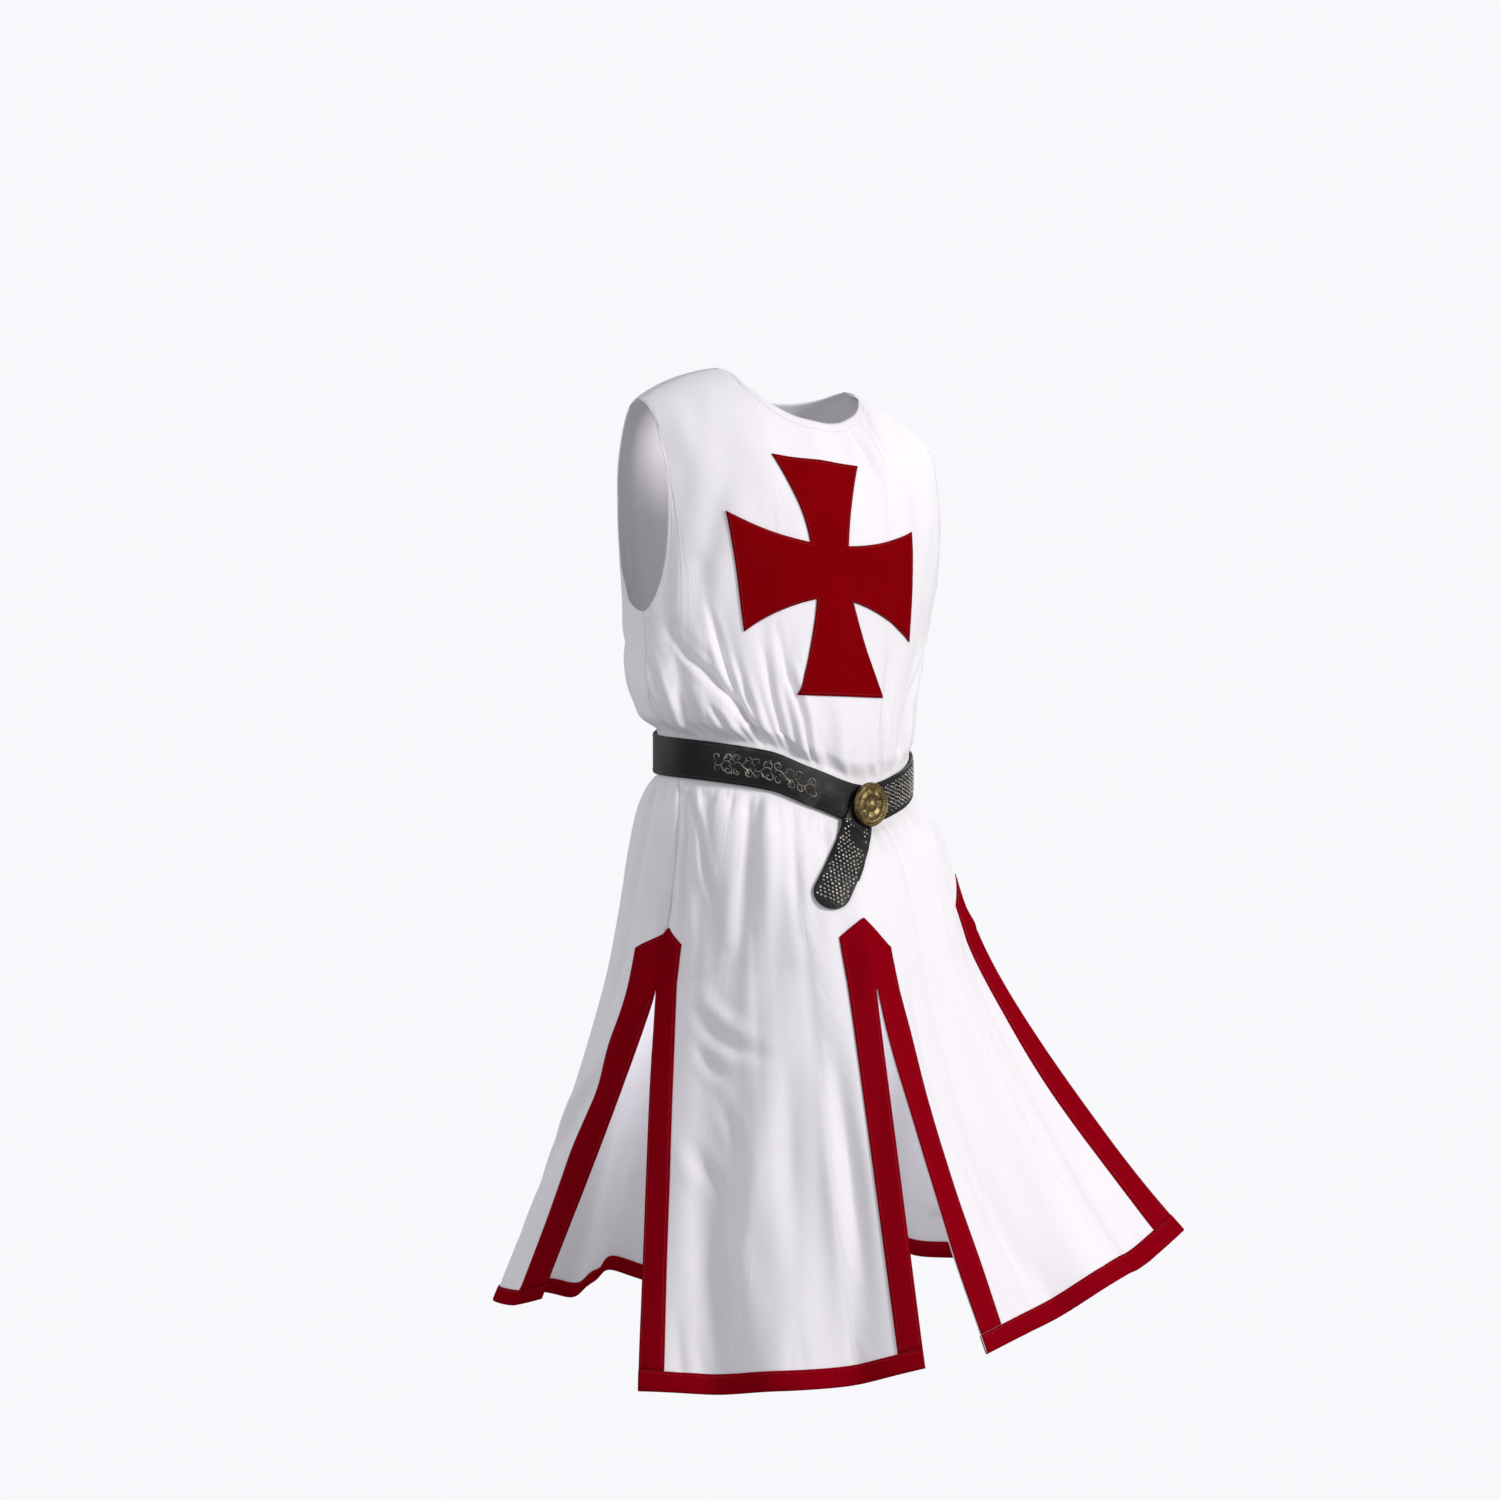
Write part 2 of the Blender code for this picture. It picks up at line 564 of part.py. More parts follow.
def cross_outline():
    """Outline of a cross with widening arms, their sides bowed a little inwards, seen from the front."""
    (top, top_half), (foot, foot_half), (right, right_half), (left, left_half) = CROSS_ARMS.values()
    (inner_right, inner_left), (inner_low, inner_high) = CROSS_INNER
    corners = [
        (top_half, top), (inner_left, inner_high), (left, left_half),
        (left, -left_half), (inner_left, inner_low), (foot_half, -foot),
        (-foot_half, -foot), (inner_right, inner_low), (-right, -right_half),
        (-right, right_half), (inner_right, inner_high), (-top_half, top),
    ]
    outline = []
    for number, here in enumerate(corners):
        there = corners[(number + 1) % len(corners)]
        bow = 0 if number % 3 == 2 else CROSS_BOW
        pulled = 0 if abs(there[0] - here[0]) < abs(there[1] - here[1]) else 1
        for step in range(SIDE_STEPS):
            share = step / SIDE_STEPS
            place = [start + (end - start) * share for start, end in zip(here, there)]
            place[pulled] -= math.copysign(4 * bow * share * (1 - share), here[pulled])
            across, up = place
            turn = CROSS_TURN + across / CHEST_TURN_LENGTH - up * CROSS_LEAN
            x, y, z = body_point(np.array([turn]), np.array([CROSS_HEIGHT + up]))[0]
            outline.append((x, z))
    return outline


def make_cross(points, faces, normals):
    """Lay a copy of the chest's cloth in front of it and keep only what falls inside the cross."""
    chosen = []
    for half in ("front_right", "front_left"):
        for column in range(8):
            for row in range(1, WAIST_ROW - 1):
                chosen += faces[(half, column, row)]
    keys = {key for face in chosen for key in face}
    laid = {key: points[key] + normals[key] * TRIM_LIFT for key in keys}
    cross = sheet_object("cross", laid, chosen, TRIM, 1, RED)[0]
    prism = bmesh.new()
    front = [prism.verts.new((x, PRISM_START, z)) for x, z in cross_outline()]
    face = prism.faces.new(front)
    pushed = bmesh.ops.extrude_face_region(prism, geom=[face])["geom"]
    moved = [item for item in pushed if isinstance(item, bmesh.types.BMVert)]
    bmesh.ops.translate(prism, vec=(0, PRISM_LENGTH, 0), verts=moved)
    bmesh.ops.recalc_face_normals(prism, faces=prism.faces)
    mesh = bpy.data.meshes.new("cross_cutter")
    prism.to_mesh(mesh)
    prism.free()
    cutter = bpy.data.objects.new("cross_cutter", mesh)
    bpy.context.scene.collection.children[1].objects.link(cutter)
    cutter.hide_render = True
    cutter.display_type = "WIRE"
    keep = cross.modifiers.new("Outline", "BOOLEAN")
    keep.operation = "INTERSECT"
    keep.object = cutter
    return cross


def belt_path_point(angle, height, lift):
    """Point outside the waist, in the belt's own slanting ring."""
    waist = waist_height(angle)
    half_width = SECTIONS["half_width"][-1] + lift
    half_depth = SECTIONS["half_depth"][-1] + lift
    return Vector((SECTIONS["centre_x"][-1] + half_width * math.sin(angle),
                   -half_depth * math.cos(angle), waist + height))


def make_strap():
    """Leather strap all round the waist, its two ends just apart behind the buckle."""
    start = BUCKLE_ANGLE + math.radians(2)
    steps = 56
    points = {}
    faces = []
    for place in range(steps + 1):
        angle = start + (2 * math.pi - math.radians(4)) * place / steps
        for row, height in enumerate((BELT_HALF, 0.0, -BELT_HALF)):
            points[(place, row)] = belt_path_point(angle, height, STRAP_INSIDE)
    for place in range(steps):
        for row in range(2):
            faces.append([(place, row), (place, row + 1), (place + 1, row + 1), (place + 1, row)])
    return sheet_object("belt_strap", points, faces, BELT_THICKNESS, 1, LEATHER)[0]


def skirt_share(turn, height):
    """Share of the way down the skirt at which it has this height."""
    waist = float(waist_height(angle_of(turn)))
    hem = HEMS["front_left" if turn > 0 else "front_right"]
    across = turn - hem["turn"][0]
    bottom = float(smooth_table(hem["share"], hem["z"], across))
    return max((waist - height) / (waist - bottom), 0.0)


def tail_point(turn, height):
    """Point on the outside of the strap or, below it, on the cloth, and the direction outwards."""
    panel = "front_left" if turn > 0 else "front_right"
    share = skirt_share(turn, height)
    near = [cloth_point(panel, np.array([turn + a]), np.array([1 + max(share + b, 0)]))[0]
            for a, b in ((0, 0), (0.01, 0), (0, 0.01))]
    at, beside, below = (Vector(place) for place in near)
    angle = float(angle_of(turn))
    waist = float(waist_height(angle))
    level_out = Vector((math.sin(angle), -math.cos(angle), 0))
    if height > waist:
        at.z = height
    out = (below - at).cross(beside - at).normalized() if height < waist - BELT_HALF else level_out
    clear = min(max((waist - height - BELT_COVER) / 0.014, 0), 1)
    return at, out.lerp(level_out, 0.5).normalized(), STRAP_OUTSIDE * (1 - clear) + TAIL_REST * clear


def make_tail():
    """Free end of the strap: from under the buckle down over the strap and the skirt to a round tip."""
    centre_turn = math.degrees(BUCKLE_ANGLE) / math.degrees(SEAM_ANGLE)
    centre_height = float(waist_height(BUCKLE_ANGLE))
    points = {}
    faces = []
    rows = 16
    lanes = 4
    half = TAIL_WIDTH / 2
    straight = TAIL_LENGTH - half
    stops = [TAIL_START + (straight - TAIL_START) * n / (rows - 5) for n in range(rows - 4)]
    stops += [straight + half * math.sin(math.pi / 2 * n / 5) for n in range(1, 5)]
    for row, along in enumerate(stops):
        beyond = max(along - straight, 0) / half
        width = half * math.sqrt(max(1 - beyond**2, 0))
        for lane in range(lanes + 1):
            side = width * (2 * lane / lanes - 1)
            across = side * math.cos(TAIL_LEAN) - along * math.sin(TAIL_LEAN)
            down = along * math.cos(TAIL_LEAN) + side * math.sin(TAIL_LEAN)
            at, out, lift = tail_point(centre_turn + across / FRONT_TURN_LENGTH, centre_height - down)
            points[(row, lane)] = at + out * lift
    for row in range(len(stops) - 1):
        for lane in range(lanes):
            faces.append([(row, lane), (row + 1, lane), (row + 1, lane + 1), (row, lane + 1)])
    return sheet_object("belt_tail", points, faces, TAIL_THICKNESS, 1, LEATHER)[0]


def make_buckle():
    """Round brass plate with a raised rim and a domed middle, turned from its profile."""
    radius = BUCKLE_RADIUS
    profile = [(0.0, BUCKLE_RISE), (0.30, 0.95 * BUCKLE_RISE), (0.58, 0.70 * BUCKLE_RISE),
               (0.74, 0.42 * BUCKLE_RISE), (0.80, 0.40 * BUCKLE_RISE), (0.86, 0.60 * BUCKLE_RISE),
               (0.94, 0.60 * BUCKLE_RISE), (1.0, 0.36 * BUCKLE_RISE), (1.0, 0.0), (0.0, 0.0)]
    mesh = bpy.data.meshes.new("belt_buckle")
    mesh.from_pydata([(share * radius, 0, rise) for share, rise in profile],
                     [(n, n + 1) for n in range(len(profile) - 1)], [])
    buckle = bpy.data.objects.new("belt_buckle", mesh)
    buckle.data.materials.append(material(BRASS))
    bpy.context.scene.collection.children[0].objects.link(buckle)
    spin = buckle.modifiers.new("Turned", "SCREW")
    spin.steps = 32
    spin.render_steps = 32
    spin.use_merge_vertices = True
    spin.merge_threshold = 0.00001
    spin.use_smooth_shade = True
    out = Vector((math.sin(BUCKLE_ANGLE) / SECTIONS["half_width"][-1],
                  -math.cos(BUCKLE_ANGLE) / SECTIONS["half_depth"][-1], 0)).normalized()
    buckle.rotation_euler = out.to_track_quat("Z", "Y").to_euler()
    buckle.location = belt_path_point(BUCKLE_ANGLE, 0, STRAP_OUTSIDE + TAIL_THICKNESS + BUCKLE_SEAT)
    return buckle


def main():
    clear_scene()
    for name in ("Tabard", "Cutters"):
        group = bpy.data.collections.get(name) or bpy.data.collections.new(name)
        if name not in bpy.context.scene.collection.children:
            bpy.context.scene.collection.children.link(group)
    points = {}
    faces = {}
    for half in HALVES:
        points.update(half_points(half))
        faces.update(half_faces(half))
    pull_seams(points, HALVES)
    normals = {}
    for piece in ("front", "back"):
        chosen = [face for name, pair in faces.items() if name[0].startswith(piece) for face in pair]
        normals.update(sheet_object(piece, points, chosen, CLOTH, 0, WHITE)[1])
    side = SIDE_COLUMNS - 1
    make_facing("slit_trim_front", [("front_right", 0), ("front_left", 0)], points, faces, normals)
    make_facing("slit_trim_right", [("front_right", side), ("back_right", side)], points, faces, normals)
    make_facing("slit_trim_left", [("front_left", side), ("back_left", side)], points, faces, normals)
    make_hem_trim("hem_trim_front_right", ["front_right"], points, faces, normals)
    make_hem_trim("hem_trim_front_left", ["front_left"], points, faces, normals)
    make_hem_trim("hem_trim_back", ["back_left", "back_right"], points, faces, normals)
    make_cross(points, faces, normals)
    make_strap()
    make_tail()
    make_buckle()


main()
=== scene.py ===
# %% [markdown]
# # A belted tabard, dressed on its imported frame
# A tabard is a sleeveless overgarment: a front and a back joined at the shoulders and sides, slit from the
# hem so that the wearer can stride. This one is white twill with red facings round its slits, red binding
# along its hem, a red cross on the chest and a leather belt. The frame gives the plain solids. This file
# makes the cloth again as thin, finely folded shells on the same form, then sews, binds and buckles it.

# %% Load the frame
import math

import bmesh
import bpy
import numpy as np
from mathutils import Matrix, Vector


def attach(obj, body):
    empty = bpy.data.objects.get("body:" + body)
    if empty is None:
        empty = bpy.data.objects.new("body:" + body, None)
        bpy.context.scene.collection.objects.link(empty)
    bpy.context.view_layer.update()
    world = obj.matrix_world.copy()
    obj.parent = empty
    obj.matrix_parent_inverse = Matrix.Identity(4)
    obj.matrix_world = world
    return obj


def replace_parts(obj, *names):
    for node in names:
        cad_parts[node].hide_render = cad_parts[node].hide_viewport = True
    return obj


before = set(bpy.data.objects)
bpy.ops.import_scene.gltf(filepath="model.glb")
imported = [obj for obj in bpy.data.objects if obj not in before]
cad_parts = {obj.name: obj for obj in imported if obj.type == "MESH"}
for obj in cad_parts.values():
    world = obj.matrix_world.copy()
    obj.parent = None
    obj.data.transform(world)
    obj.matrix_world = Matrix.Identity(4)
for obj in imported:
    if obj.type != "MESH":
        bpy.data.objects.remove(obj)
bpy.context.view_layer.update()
print("frame nodes:", ", ".join(sorted(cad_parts)))

# %% [markdown]
# ## The sizes of the garment
# These are the driving sizes and tables of the frame's own source: the neck, the shoulders, the belt's line
# round the waist, the body's sections and each panel's hem. Repeating them, and not measuring the frame's
# facets, gives a smooth surface that can be read at any fineness. Only the back's hem differs: it bends
# more sharply at its right corner and hangs up to a centimetre lower, as thin cloth can.

# %% Driving sizes, in metres
CLOTH = 0.0013
TRIM = 0.0010
TRIM_LIFT = 0.0012
TRIM_WIDTH = 0.028
HEM_WIDTH = 0.019
SEAM_GAP = 0.0001
NECK_ANGLE = math.radians(22)
TIP_ANGLE = math.radians(59)
SEAM_ANGLE = math.radians(82)
FRONT_NECK_DROP = 0.050
BACK_NECK_DROP = 0.020
SHOULDER_SLOPE = 0.045
UNDERARM = -0.26
CHEST_TOP = -0.19
SHOULDER_ROLL = math.radians(8)
BUCKLE_ANGLE = math.radians(10)
BELT_WIDTH = 0.042
BELT_THICKNESS = 0.0035
BELT_HALF = BELT_WIDTH / 2
BELT_COVER = 0.027
BELT_CLEAR = 0.024
BELT_FADE = 0.016
TURN_LENGTH = 0.27
BELT_LINE = {
    "angle":  [-180, -116, -70, -35, -15, 10, 35, 64, 120, 180],
    "height": [-0.385, -0.402, -0.408, -0.419, -0.438, -0.457, -0.445, -0.427, -0.404, -0.385],
}
SECTIONS = {
    "level":       [0.00, 0.19, 0.48, 0.65, 0.80, 0.90, 0.945, 1.00],
    "half_width":  [0.203, 0.196, 0.183, 0.177, 0.172, 0.164, 0.149, 0.149],
    "half_depth":  [0.112, 0.120, 0.125, 0.122, 0.121, 0.117, 0.107, 0.107],
    "centre_x":    [-0.012, -0.013, -0.014, -0.019, -0.023, -0.018, -0.008, -0.008],
    "twist":       [-10.0, -8.0, -6.0, -3.5, -1.0, 0.0, 0.0, 0.0],
}
HEMS = {
    "front_right": {
        "turn": (-1.0, 0.0),
        "share": [0.0, 0.5, 1.0],
        "x": [-0.264, -0.166, -0.058],
        "y": [-0.097, -0.216, -0.315],
        "z": [-1.058, -1.052, -1.024],
    },
    "front_left": {
        "turn": (0.0, 1.0),
        "share": [0.0, 0.5, 1.0],
        "x": [0.002, 0.164, 0.319],
        "y": [-0.340, -0.325, -0.282],
        "z": [-1.012, -0.966, -0.918],
    },
    "back": {
        "turn": (1.0, 3.0),
        "share": [0.0, 0.24, 0.48, 0.70, 0.89, 0.957, 1.0],
        "x": [0.300, 0.220, 0.070, -0.075, -0.199, -0.212, -0.190],
        "y": [0.050, 0.265, 0.368, 0.358, 0.285, 0.227, 0.205],
        "z": [-0.985, -1.010, -1.026, -1.023, -1.019, -1.015, -1.006],
    },
}
SLITS = {
    "turn":  [-1.0, 0.0, 1.0, 2.0, 3.0],
    "point": [0.190, 0.131, 0.134, 0.150, 0.190],
    "open":  [0.258, 0.207, 0.204, 0.220, 0.258],
}
SWAY = {
    "turn": [-1.0, -0.5, 0.0, 0.5, 1.0, 1.5, 2.0, 2.5, 3.0],
    "x":    [0.034, 0.0, -0.024, 0.0, 0.012, 0.0, 0.0, 0.004, 0.034],
    "y":    [-0.018, 0.0, 0.0, 0.0, 0.0, 0.0, 0.010, -0.004, -0.018],
}
SWING_CURVE = {"front_right": 1.10, "front_left": 1.35, "back": 1.10}
SWING_SOFTNESS = 0.14

# %% [markdown]
# ## Where the folds lie
# A gathered waist throws pleats up and down from the belt, the chest's cloth fans towards the buckle side,
# and the loose panels hang in soft flutes. Each fold is one row: where it starts and ends, as a turn round
# the body and a height, its half-width, and its depth at both ends. Troughs have depths below zero. The
# large folds are those of the frame, with one trough of the back made shallower. Two more are added, which
# turn the cloth beside the left slit. The creases are added too: bent lines through several such places,
# each with a half-width and a depth.

# %% Fold tables
FOLD_COLUMNS = ("name", "turn_a", "height_a", "turn_b", "height_b", "half_width", "depth_a", "depth_b")
LARGE_FOLDS = [
    ("fan high", -0.44, -0.394, -0.63, -0.204, 0.016, -0.006, -0.002),
    ("fan long", -0.48, -0.351, -0.80, -0.276, 0.016, -0.006, -0.003),
    ("fan side", -0.74, -0.381, -0.83, -0.276, 0.013, -0.006, -0.002),
    ("blouse right", -0.60, -0.352, -0.98, -0.338, 0.026, 0.004, 0.008),
    ("pleat one", -0.333, -0.397, -0.346, -0.260, 0.011, -0.006, -0.001),
    ("pleat two", -0.262, -0.402, -0.258, -0.281, 0.010, -0.005, -0.001),
    ("pleat three", -0.088, -0.419, -0.088, -0.344, 0.010, -0.005, -0.001),
    ("left pleat", 0.46, -0.400, 0.58, -0.270, 0.014, -0.006, -0.002),
    ("left side pleat", 0.80, -0.385, 0.86, -0.290, 0.014, -0.007, -0.002),
    ("back pleat left", 1.38, -0.375, 1.30, -0.230, 0.016, -0.008, -0.002),
    ("back pleat one", 1.72, -0.372, 1.68, -0.190, 0.014, -0.008, -0.001),
    ("back pleat two", 1.96, -0.370, 1.97, -0.215, 0.013, -0.007, -0.001),
    ("back pleat three", 2.22, -0.372, 2.28, -0.170, 0.015, -0.008, -0.001),
    ("back pleat right", 2.58, -0.375, 2.66, -0.240, 0.016, -0.007, -0.002),
    ("hip one", -0.90, -0.445, -0.87, -0.560, 0.012, -0.006, -0.001),
    ("hip two", -0.78, -0.445, -0.76, -0.575, 0.012, -0.005, -0.001),
    ("hip three", -0.56, -0.450, -0.58, -0.640, 0.022, -0.005, -0.001),
    ("hip front", -0.138, -0.476, -0.133, -0.520, 0.009, -0.005, -0.001),
    ("hip left", 0.75, -0.450, 0.79, -0.550, 0.014, -0.008, -0.002),
    ("right trough", -0.70, -0.620, -0.735, -1.050, 0.030, 0.0, -0.016),
    ("right ridge", -0.46, -0.640, -0.50, -1.050, 0.034, 0.0, 0.013),
    ("right inner trough", -0.20, -0.680, -0.25, -1.030, 0.030, 0.0, -0.010),
    ("left trough", 0.20, -0.620, 0.30, -0.980, 0.032, 0.0, -0.013),
    ("left ridge", 0.38, -0.590, 0.52, -0.960, 0.036, 0.003, 0.012),
    ("left outer trough", 0.66, -0.590, 0.78, -0.940, 0.030, 0.0, -0.011),
    ("back ridge one", 1.22, -0.480, 1.24, -1.000, 0.034, 0.004, 0.018),
    ("back trough one", 1.45, -0.460, 1.46, -1.010, 0.034, -0.004, -0.022),
    ("back ridge two", 1.66, -0.500, 1.68, -1.015, 0.032, 0.002, 0.020),
    ("back trough two", 1.88, -0.450, 1.90, -1.020, 0.034, -0.005, -0.024),
    ("back ridge three", 2.10, -0.520, 2.12, -1.020, 0.034, 0.002, 0.020),
    ("back trough three", 2.34, -0.455, 2.36, -1.020, 0.038, -0.004, -0.017),
    ("back ridge four", 2.58, -0.560, 2.62, -1.015, 0.040, 0.002, 0.004),
]
ADDED_FOLDS = [
    ("left band trough", 0.82, -0.520, 0.84, -1.000, 0.036, -0.018, -0.006),
    ("left band edge", 1.0, -0.600, 1.0, -1.000, 0.016, 0.006, 0.001),
]
CREASES = {
    "fan long": (0.0050, -0.0058, [(-0.842, -0.270), (-0.741, -0.296), (-0.629, -0.317), (-0.529, -0.342),
                                   (-0.456, -0.369), (-0.440, -0.400)]),
    "fan second": (0.0048, -0.0054, [(-0.483, -0.301), (-0.440, -0.345), (-0.413, -0.382),
                                     (-0.405, -0.402)]),
    "fan third": (0.0046, -0.0050, [(-0.282, -0.265), (-0.247, -0.308), (-0.195, -0.344), (-0.174, -0.366),
                                    (-0.166, -0.410)]),
    "fan fourth": (0.0080, -0.0030, [(-0.039, -0.345), (-0.035, -0.376), (-0.050, -0.425)]),
    "fan side": (0.0050, -0.0052, [(-1.000, -0.289), (-0.930, -0.318), (-0.890, -0.343), (-0.900, -0.382)]),
    "fan side low": (0.0050, -0.0030, [(-1.070, -0.310), (-0.990, -0.333), (-0.960, -0.353),
                                       (-0.985, -0.385)]),
    "fan short": (0.0050, -0.0040, [(-0.811, -0.333), (-0.803, -0.356), (-0.835, -0.385)]),
    "fan high": (0.0050, -0.0050, [(-0.602, -0.242), (-0.537, -0.305), (-0.475, -0.349), (-0.459, -0.392)]),
    "fan light": (0.0070, -0.0022, [(-0.228, -0.271), (-0.224, -0.302), (-0.220, -0.333)]),
    "fan fifth": (0.0046, -0.0044, [(-0.350, -0.285), (-0.320, -0.330), (-0.300, -0.370), (-0.290, -0.405)]),
    "fan sixth": (0.0044, -0.0038, [(-0.660, -0.345), (-0.600, -0.366), (-0.560, -0.390)]),
    "fan ridge": (0.0090, 0.0030, [(-0.700, -0.280), (-0.600, -0.290), (-0.500, -0.325), (-0.425, -0.370)]),
    "hip seam": (0.0050, -0.0026, [(-0.985, -0.440), (-0.990, -0.480), (-0.985, -0.540), (-0.990, -0.570)]),
    "hip one": (0.0060, -0.0040, [(-0.946, -0.444), (-0.942, -0.478), (-0.930, -0.530), (-0.853, -0.609)]),
    "hip two": (0.0055, -0.0040, [(-0.903, -0.445), (-0.826, -0.482), (-0.788, -0.514), (-0.699, -0.566)]),
    "hip far": (0.0060, -0.0036, [(-1.204, -0.432), (-1.192, -0.468), (-1.182, -0.527), (-1.179, -0.585)]),
    "hip three": (0.0090, -0.0034, [(-0.521, -0.443), (-0.529, -0.500), (-0.568, -0.575), (-0.590, -0.680)]),
    "hip ridge": (0.0110, 0.0034, [(-0.421, -0.449), (-0.417, -0.501), (-0.440, -0.553), (-0.450, -0.650)]),
    "hip four": (0.0070, -0.0026, [(-0.300, -0.450), (-0.290, -0.510), (-0.310, -0.600)]),
    "tail side": (0.0050, -0.0034, [(-0.124, -0.462), (-0.116, -0.485), (-0.131, -0.510)]),
    "hip left": (0.0110, -0.0040, [(0.700, -0.455), (0.640, -0.497), (0.600, -0.545)]),
    "wrinkle one": (0.0070, -0.0040, [(-0.807, -0.668), (-0.722, -0.692), (-0.610, -0.707),
                                      (-0.444, -0.719)]),
    "wrinkle ridge": (0.0080, 0.0030, [(-0.760, -0.655), (-0.680, -0.676), (-0.560, -0.690)]),
    "wrinkle two": (0.0060, -0.0034, [(-0.792, -0.709), (-0.726, -0.728), (-0.633, -0.742)]),
    "wrinkle three": (0.0080, -0.0042, [(-0.826, -0.803), (-0.795, -0.823), (-0.714, -0.849),
                                        (-0.699, -0.882)]),
    "wrinkle four": (0.0070, -0.0026, [(-0.700, -0.760), (-0.640, -0.790), (-0.600, -0.830)]),
    "edge trough": (0.0130, -0.0050, [(-0.788, -0.783), (-0.768, -0.841), (-0.749, -0.961),
                                      (-0.768, -1.020)]),
    "edge crease": (0.0050, -0.0024, [(-0.700, -0.880), (-0.690, -0.940), (-0.670, -0.990)]),
    "centre ridge": (0.0140, 0.0050, [(-0.514, -0.761), (-0.564, -0.842), (-0.614, -0.920),
                                      (-0.598, -1.030)]),
    "second trough": (0.0120, -0.0042, [(-0.409, -0.720), (-0.417, -0.840), (-0.425, -1.000)]),
    "inner ridge": (0.0110, 0.0042, [(-0.270, -0.720), (-0.263, -0.878), (-0.278, -1.010)]),
    "inner trough": (0.0100, -0.0042, [(-0.201, -0.700), (-0.185, -0.839), (-0.181, -0.960)]),
    "left one": (0.0140, -0.0058, [(0.560, -0.700), (0.587, -0.774), (0.560, -0.900)]),
    "left two": (0.0110, -0.0054, [(0.224, -0.760), (0.234, -0.844), (0.265, -0.922), (0.324, -0.960)]),
    "left three": (0.0120, -0.0050, [(0.216, -0.620), (0.190, -0.729), (0.180, -0.802)]),
    "left four": (0.0130, -0.0050, [(0.614, -0.580), (0.637, -0.680), (0.680, -0.780)]),
    "left ridge high": (0.0130, 0.0054, [(0.400, -0.560), (0.420, -0.680), (0.450, -0.820)]),
    "far wrinkle": (0.0070, -0.0034, [(-1.185, -0.585), (-1.195, -0.646), (-1.185, -0.701)]),
    "neck fold one": (0.0055, -0.0044, [(0.095, -0.044), (0.160, -0.072), (0.235, -0.118)]),
    "neck fold two": (0.0055, -0.0046, [(0.205, -0.030), (0.255, -0.058), (0.315, -0.106)]),
    "breast drag": (0.0140, -0.0026, [(-0.420, -0.090), (-0.540, -0.160), (-0.640, -0.235)]),
    "breast drag left": (0.0140, -0.0026, [(0.420, -0.110), (0.520, -0.180), (0.600, -0.260)]),
    "left fan one": (0.0065, -0.0042, [(0.860, -0.270), (0.700, -0.300), (0.560, -0.340), (0.480, -0.400)]),
    "left fan two": (0.0060, -0.0038, [(0.960, -0.300), (0.850, -0.330), (0.780, -0.385)]),
    "left fan three": (0.0060, -0.0030, [(0.300, -0.300), (0.290, -0.350), (0.250, -0.415)]),
    "inner face one": (0.0090, 0.0046, [(-1.080, -0.680), (-1.200, -0.780), (-1.300, -0.900)]),
    "inner face two": (0.0100, 0.0044, [(-1.160, -0.830), (-1.280, -0.900), (-1.360, -0.980)]),
    "inner face three": (0.0120, -0.0040, [(-1.120, -0.760), (-1.220, -0.860), (-1.300, -0.960)]),
    "back yoke one": (0.0140, -0.0034, [(1.350, -0.130), (1.460, -0.200), (1.500, -0.290)]),
    "back yoke two": (0.0140, -0.0034, [(2.640, -0.120), (2.540, -0.190), (2.490, -0.300)]),
    "back fan one": (0.0070, -0.0046, [(1.180, -0.260), (1.320, -0.300), (1.480, -0.370)]),
    "back fan two": (0.0070, -0.0042, [(2.840, -0.250), (2.700, -0.290), (2.560, -0.370)]),
    "back drape one": (0.0080, -0.0044, [(1.620, -0.230), (1.700, -0.300), (1.740, -0.370)]),
    "back drape two": (0.0080, -0.0044, [(2.360, -0.210), (2.290, -0.290), (2.260, -0.370)]),
    "back drape three": (0.0070, -0.0038, [(1.990, -0.260), (2.010, -0.310), (2.000, -0.370)]),
    "back hip one": (0.0090, -0.0046, [(1.480, -0.430), (1.500, -0.520), (1.480, -0.620)]),
    "back hip two": (0.0090, -0.0046, [(1.780, -0.425), (1.800, -0.500), (1.840, -0.600)]),
    "back hip three": (0.0090, -0.0046, [(2.180, -0.425), (2.160, -0.520), (2.120, -0.640)]),
    "back hip four": (0.0090, -0.0044, [(2.500, -0.430), (2.480, -0.510), (2.440, -0.600)]),
    "back flute one": (0.0125, -0.0066, [(1.400, -0.440), (1.430, -0.600), (1.440, -0.800),
                                         (1.450, -1.300)]),
    "back flute two": (0.0140, -0.0074, [(1.890, -0.440), (1.870, -0.620), (1.890, -0.820),
                                         (1.900, -1.300)]),
    "back flute three": (0.0125, -0.0040, [(2.320, -0.440), (2.350, -0.620), (2.370, -0.840),
                                           (2.360, -1.300)]),
    "back flute four": (0.0100, -0.0030, [(2.680, -0.450), (2.700, -0.580), (2.720, -0.760),
                                          (2.730, -1.300)]),
    "back flute ridge": (0.0130, 0.0058, [(1.630, -0.520), (1.650, -0.700), (1.680, -0.900),
                                          (1.690, -1.300)]),
    "back flute ridge two": (0.0130, 0.0062, [(2.100, -0.540), (2.120, -0.720), (2.110, -0.900),
                                              (2.110, -1.300)]),
    "back flute ridge three": (0.0110, 0.0050, [(1.190, -0.520), (1.220, -0.700), (1.230, -0.900),
                                                (1.240, -1.300)]),
    "back sag one": (0.0090, -0.0044, [(1.520, -0.640), (1.640, -0.672), (1.780, -0.668)]),
    "back sag two": (0.0080, -0.0038, [(2.040, -0.600), (2.160, -0.640), (2.280, -0.650)]),
}
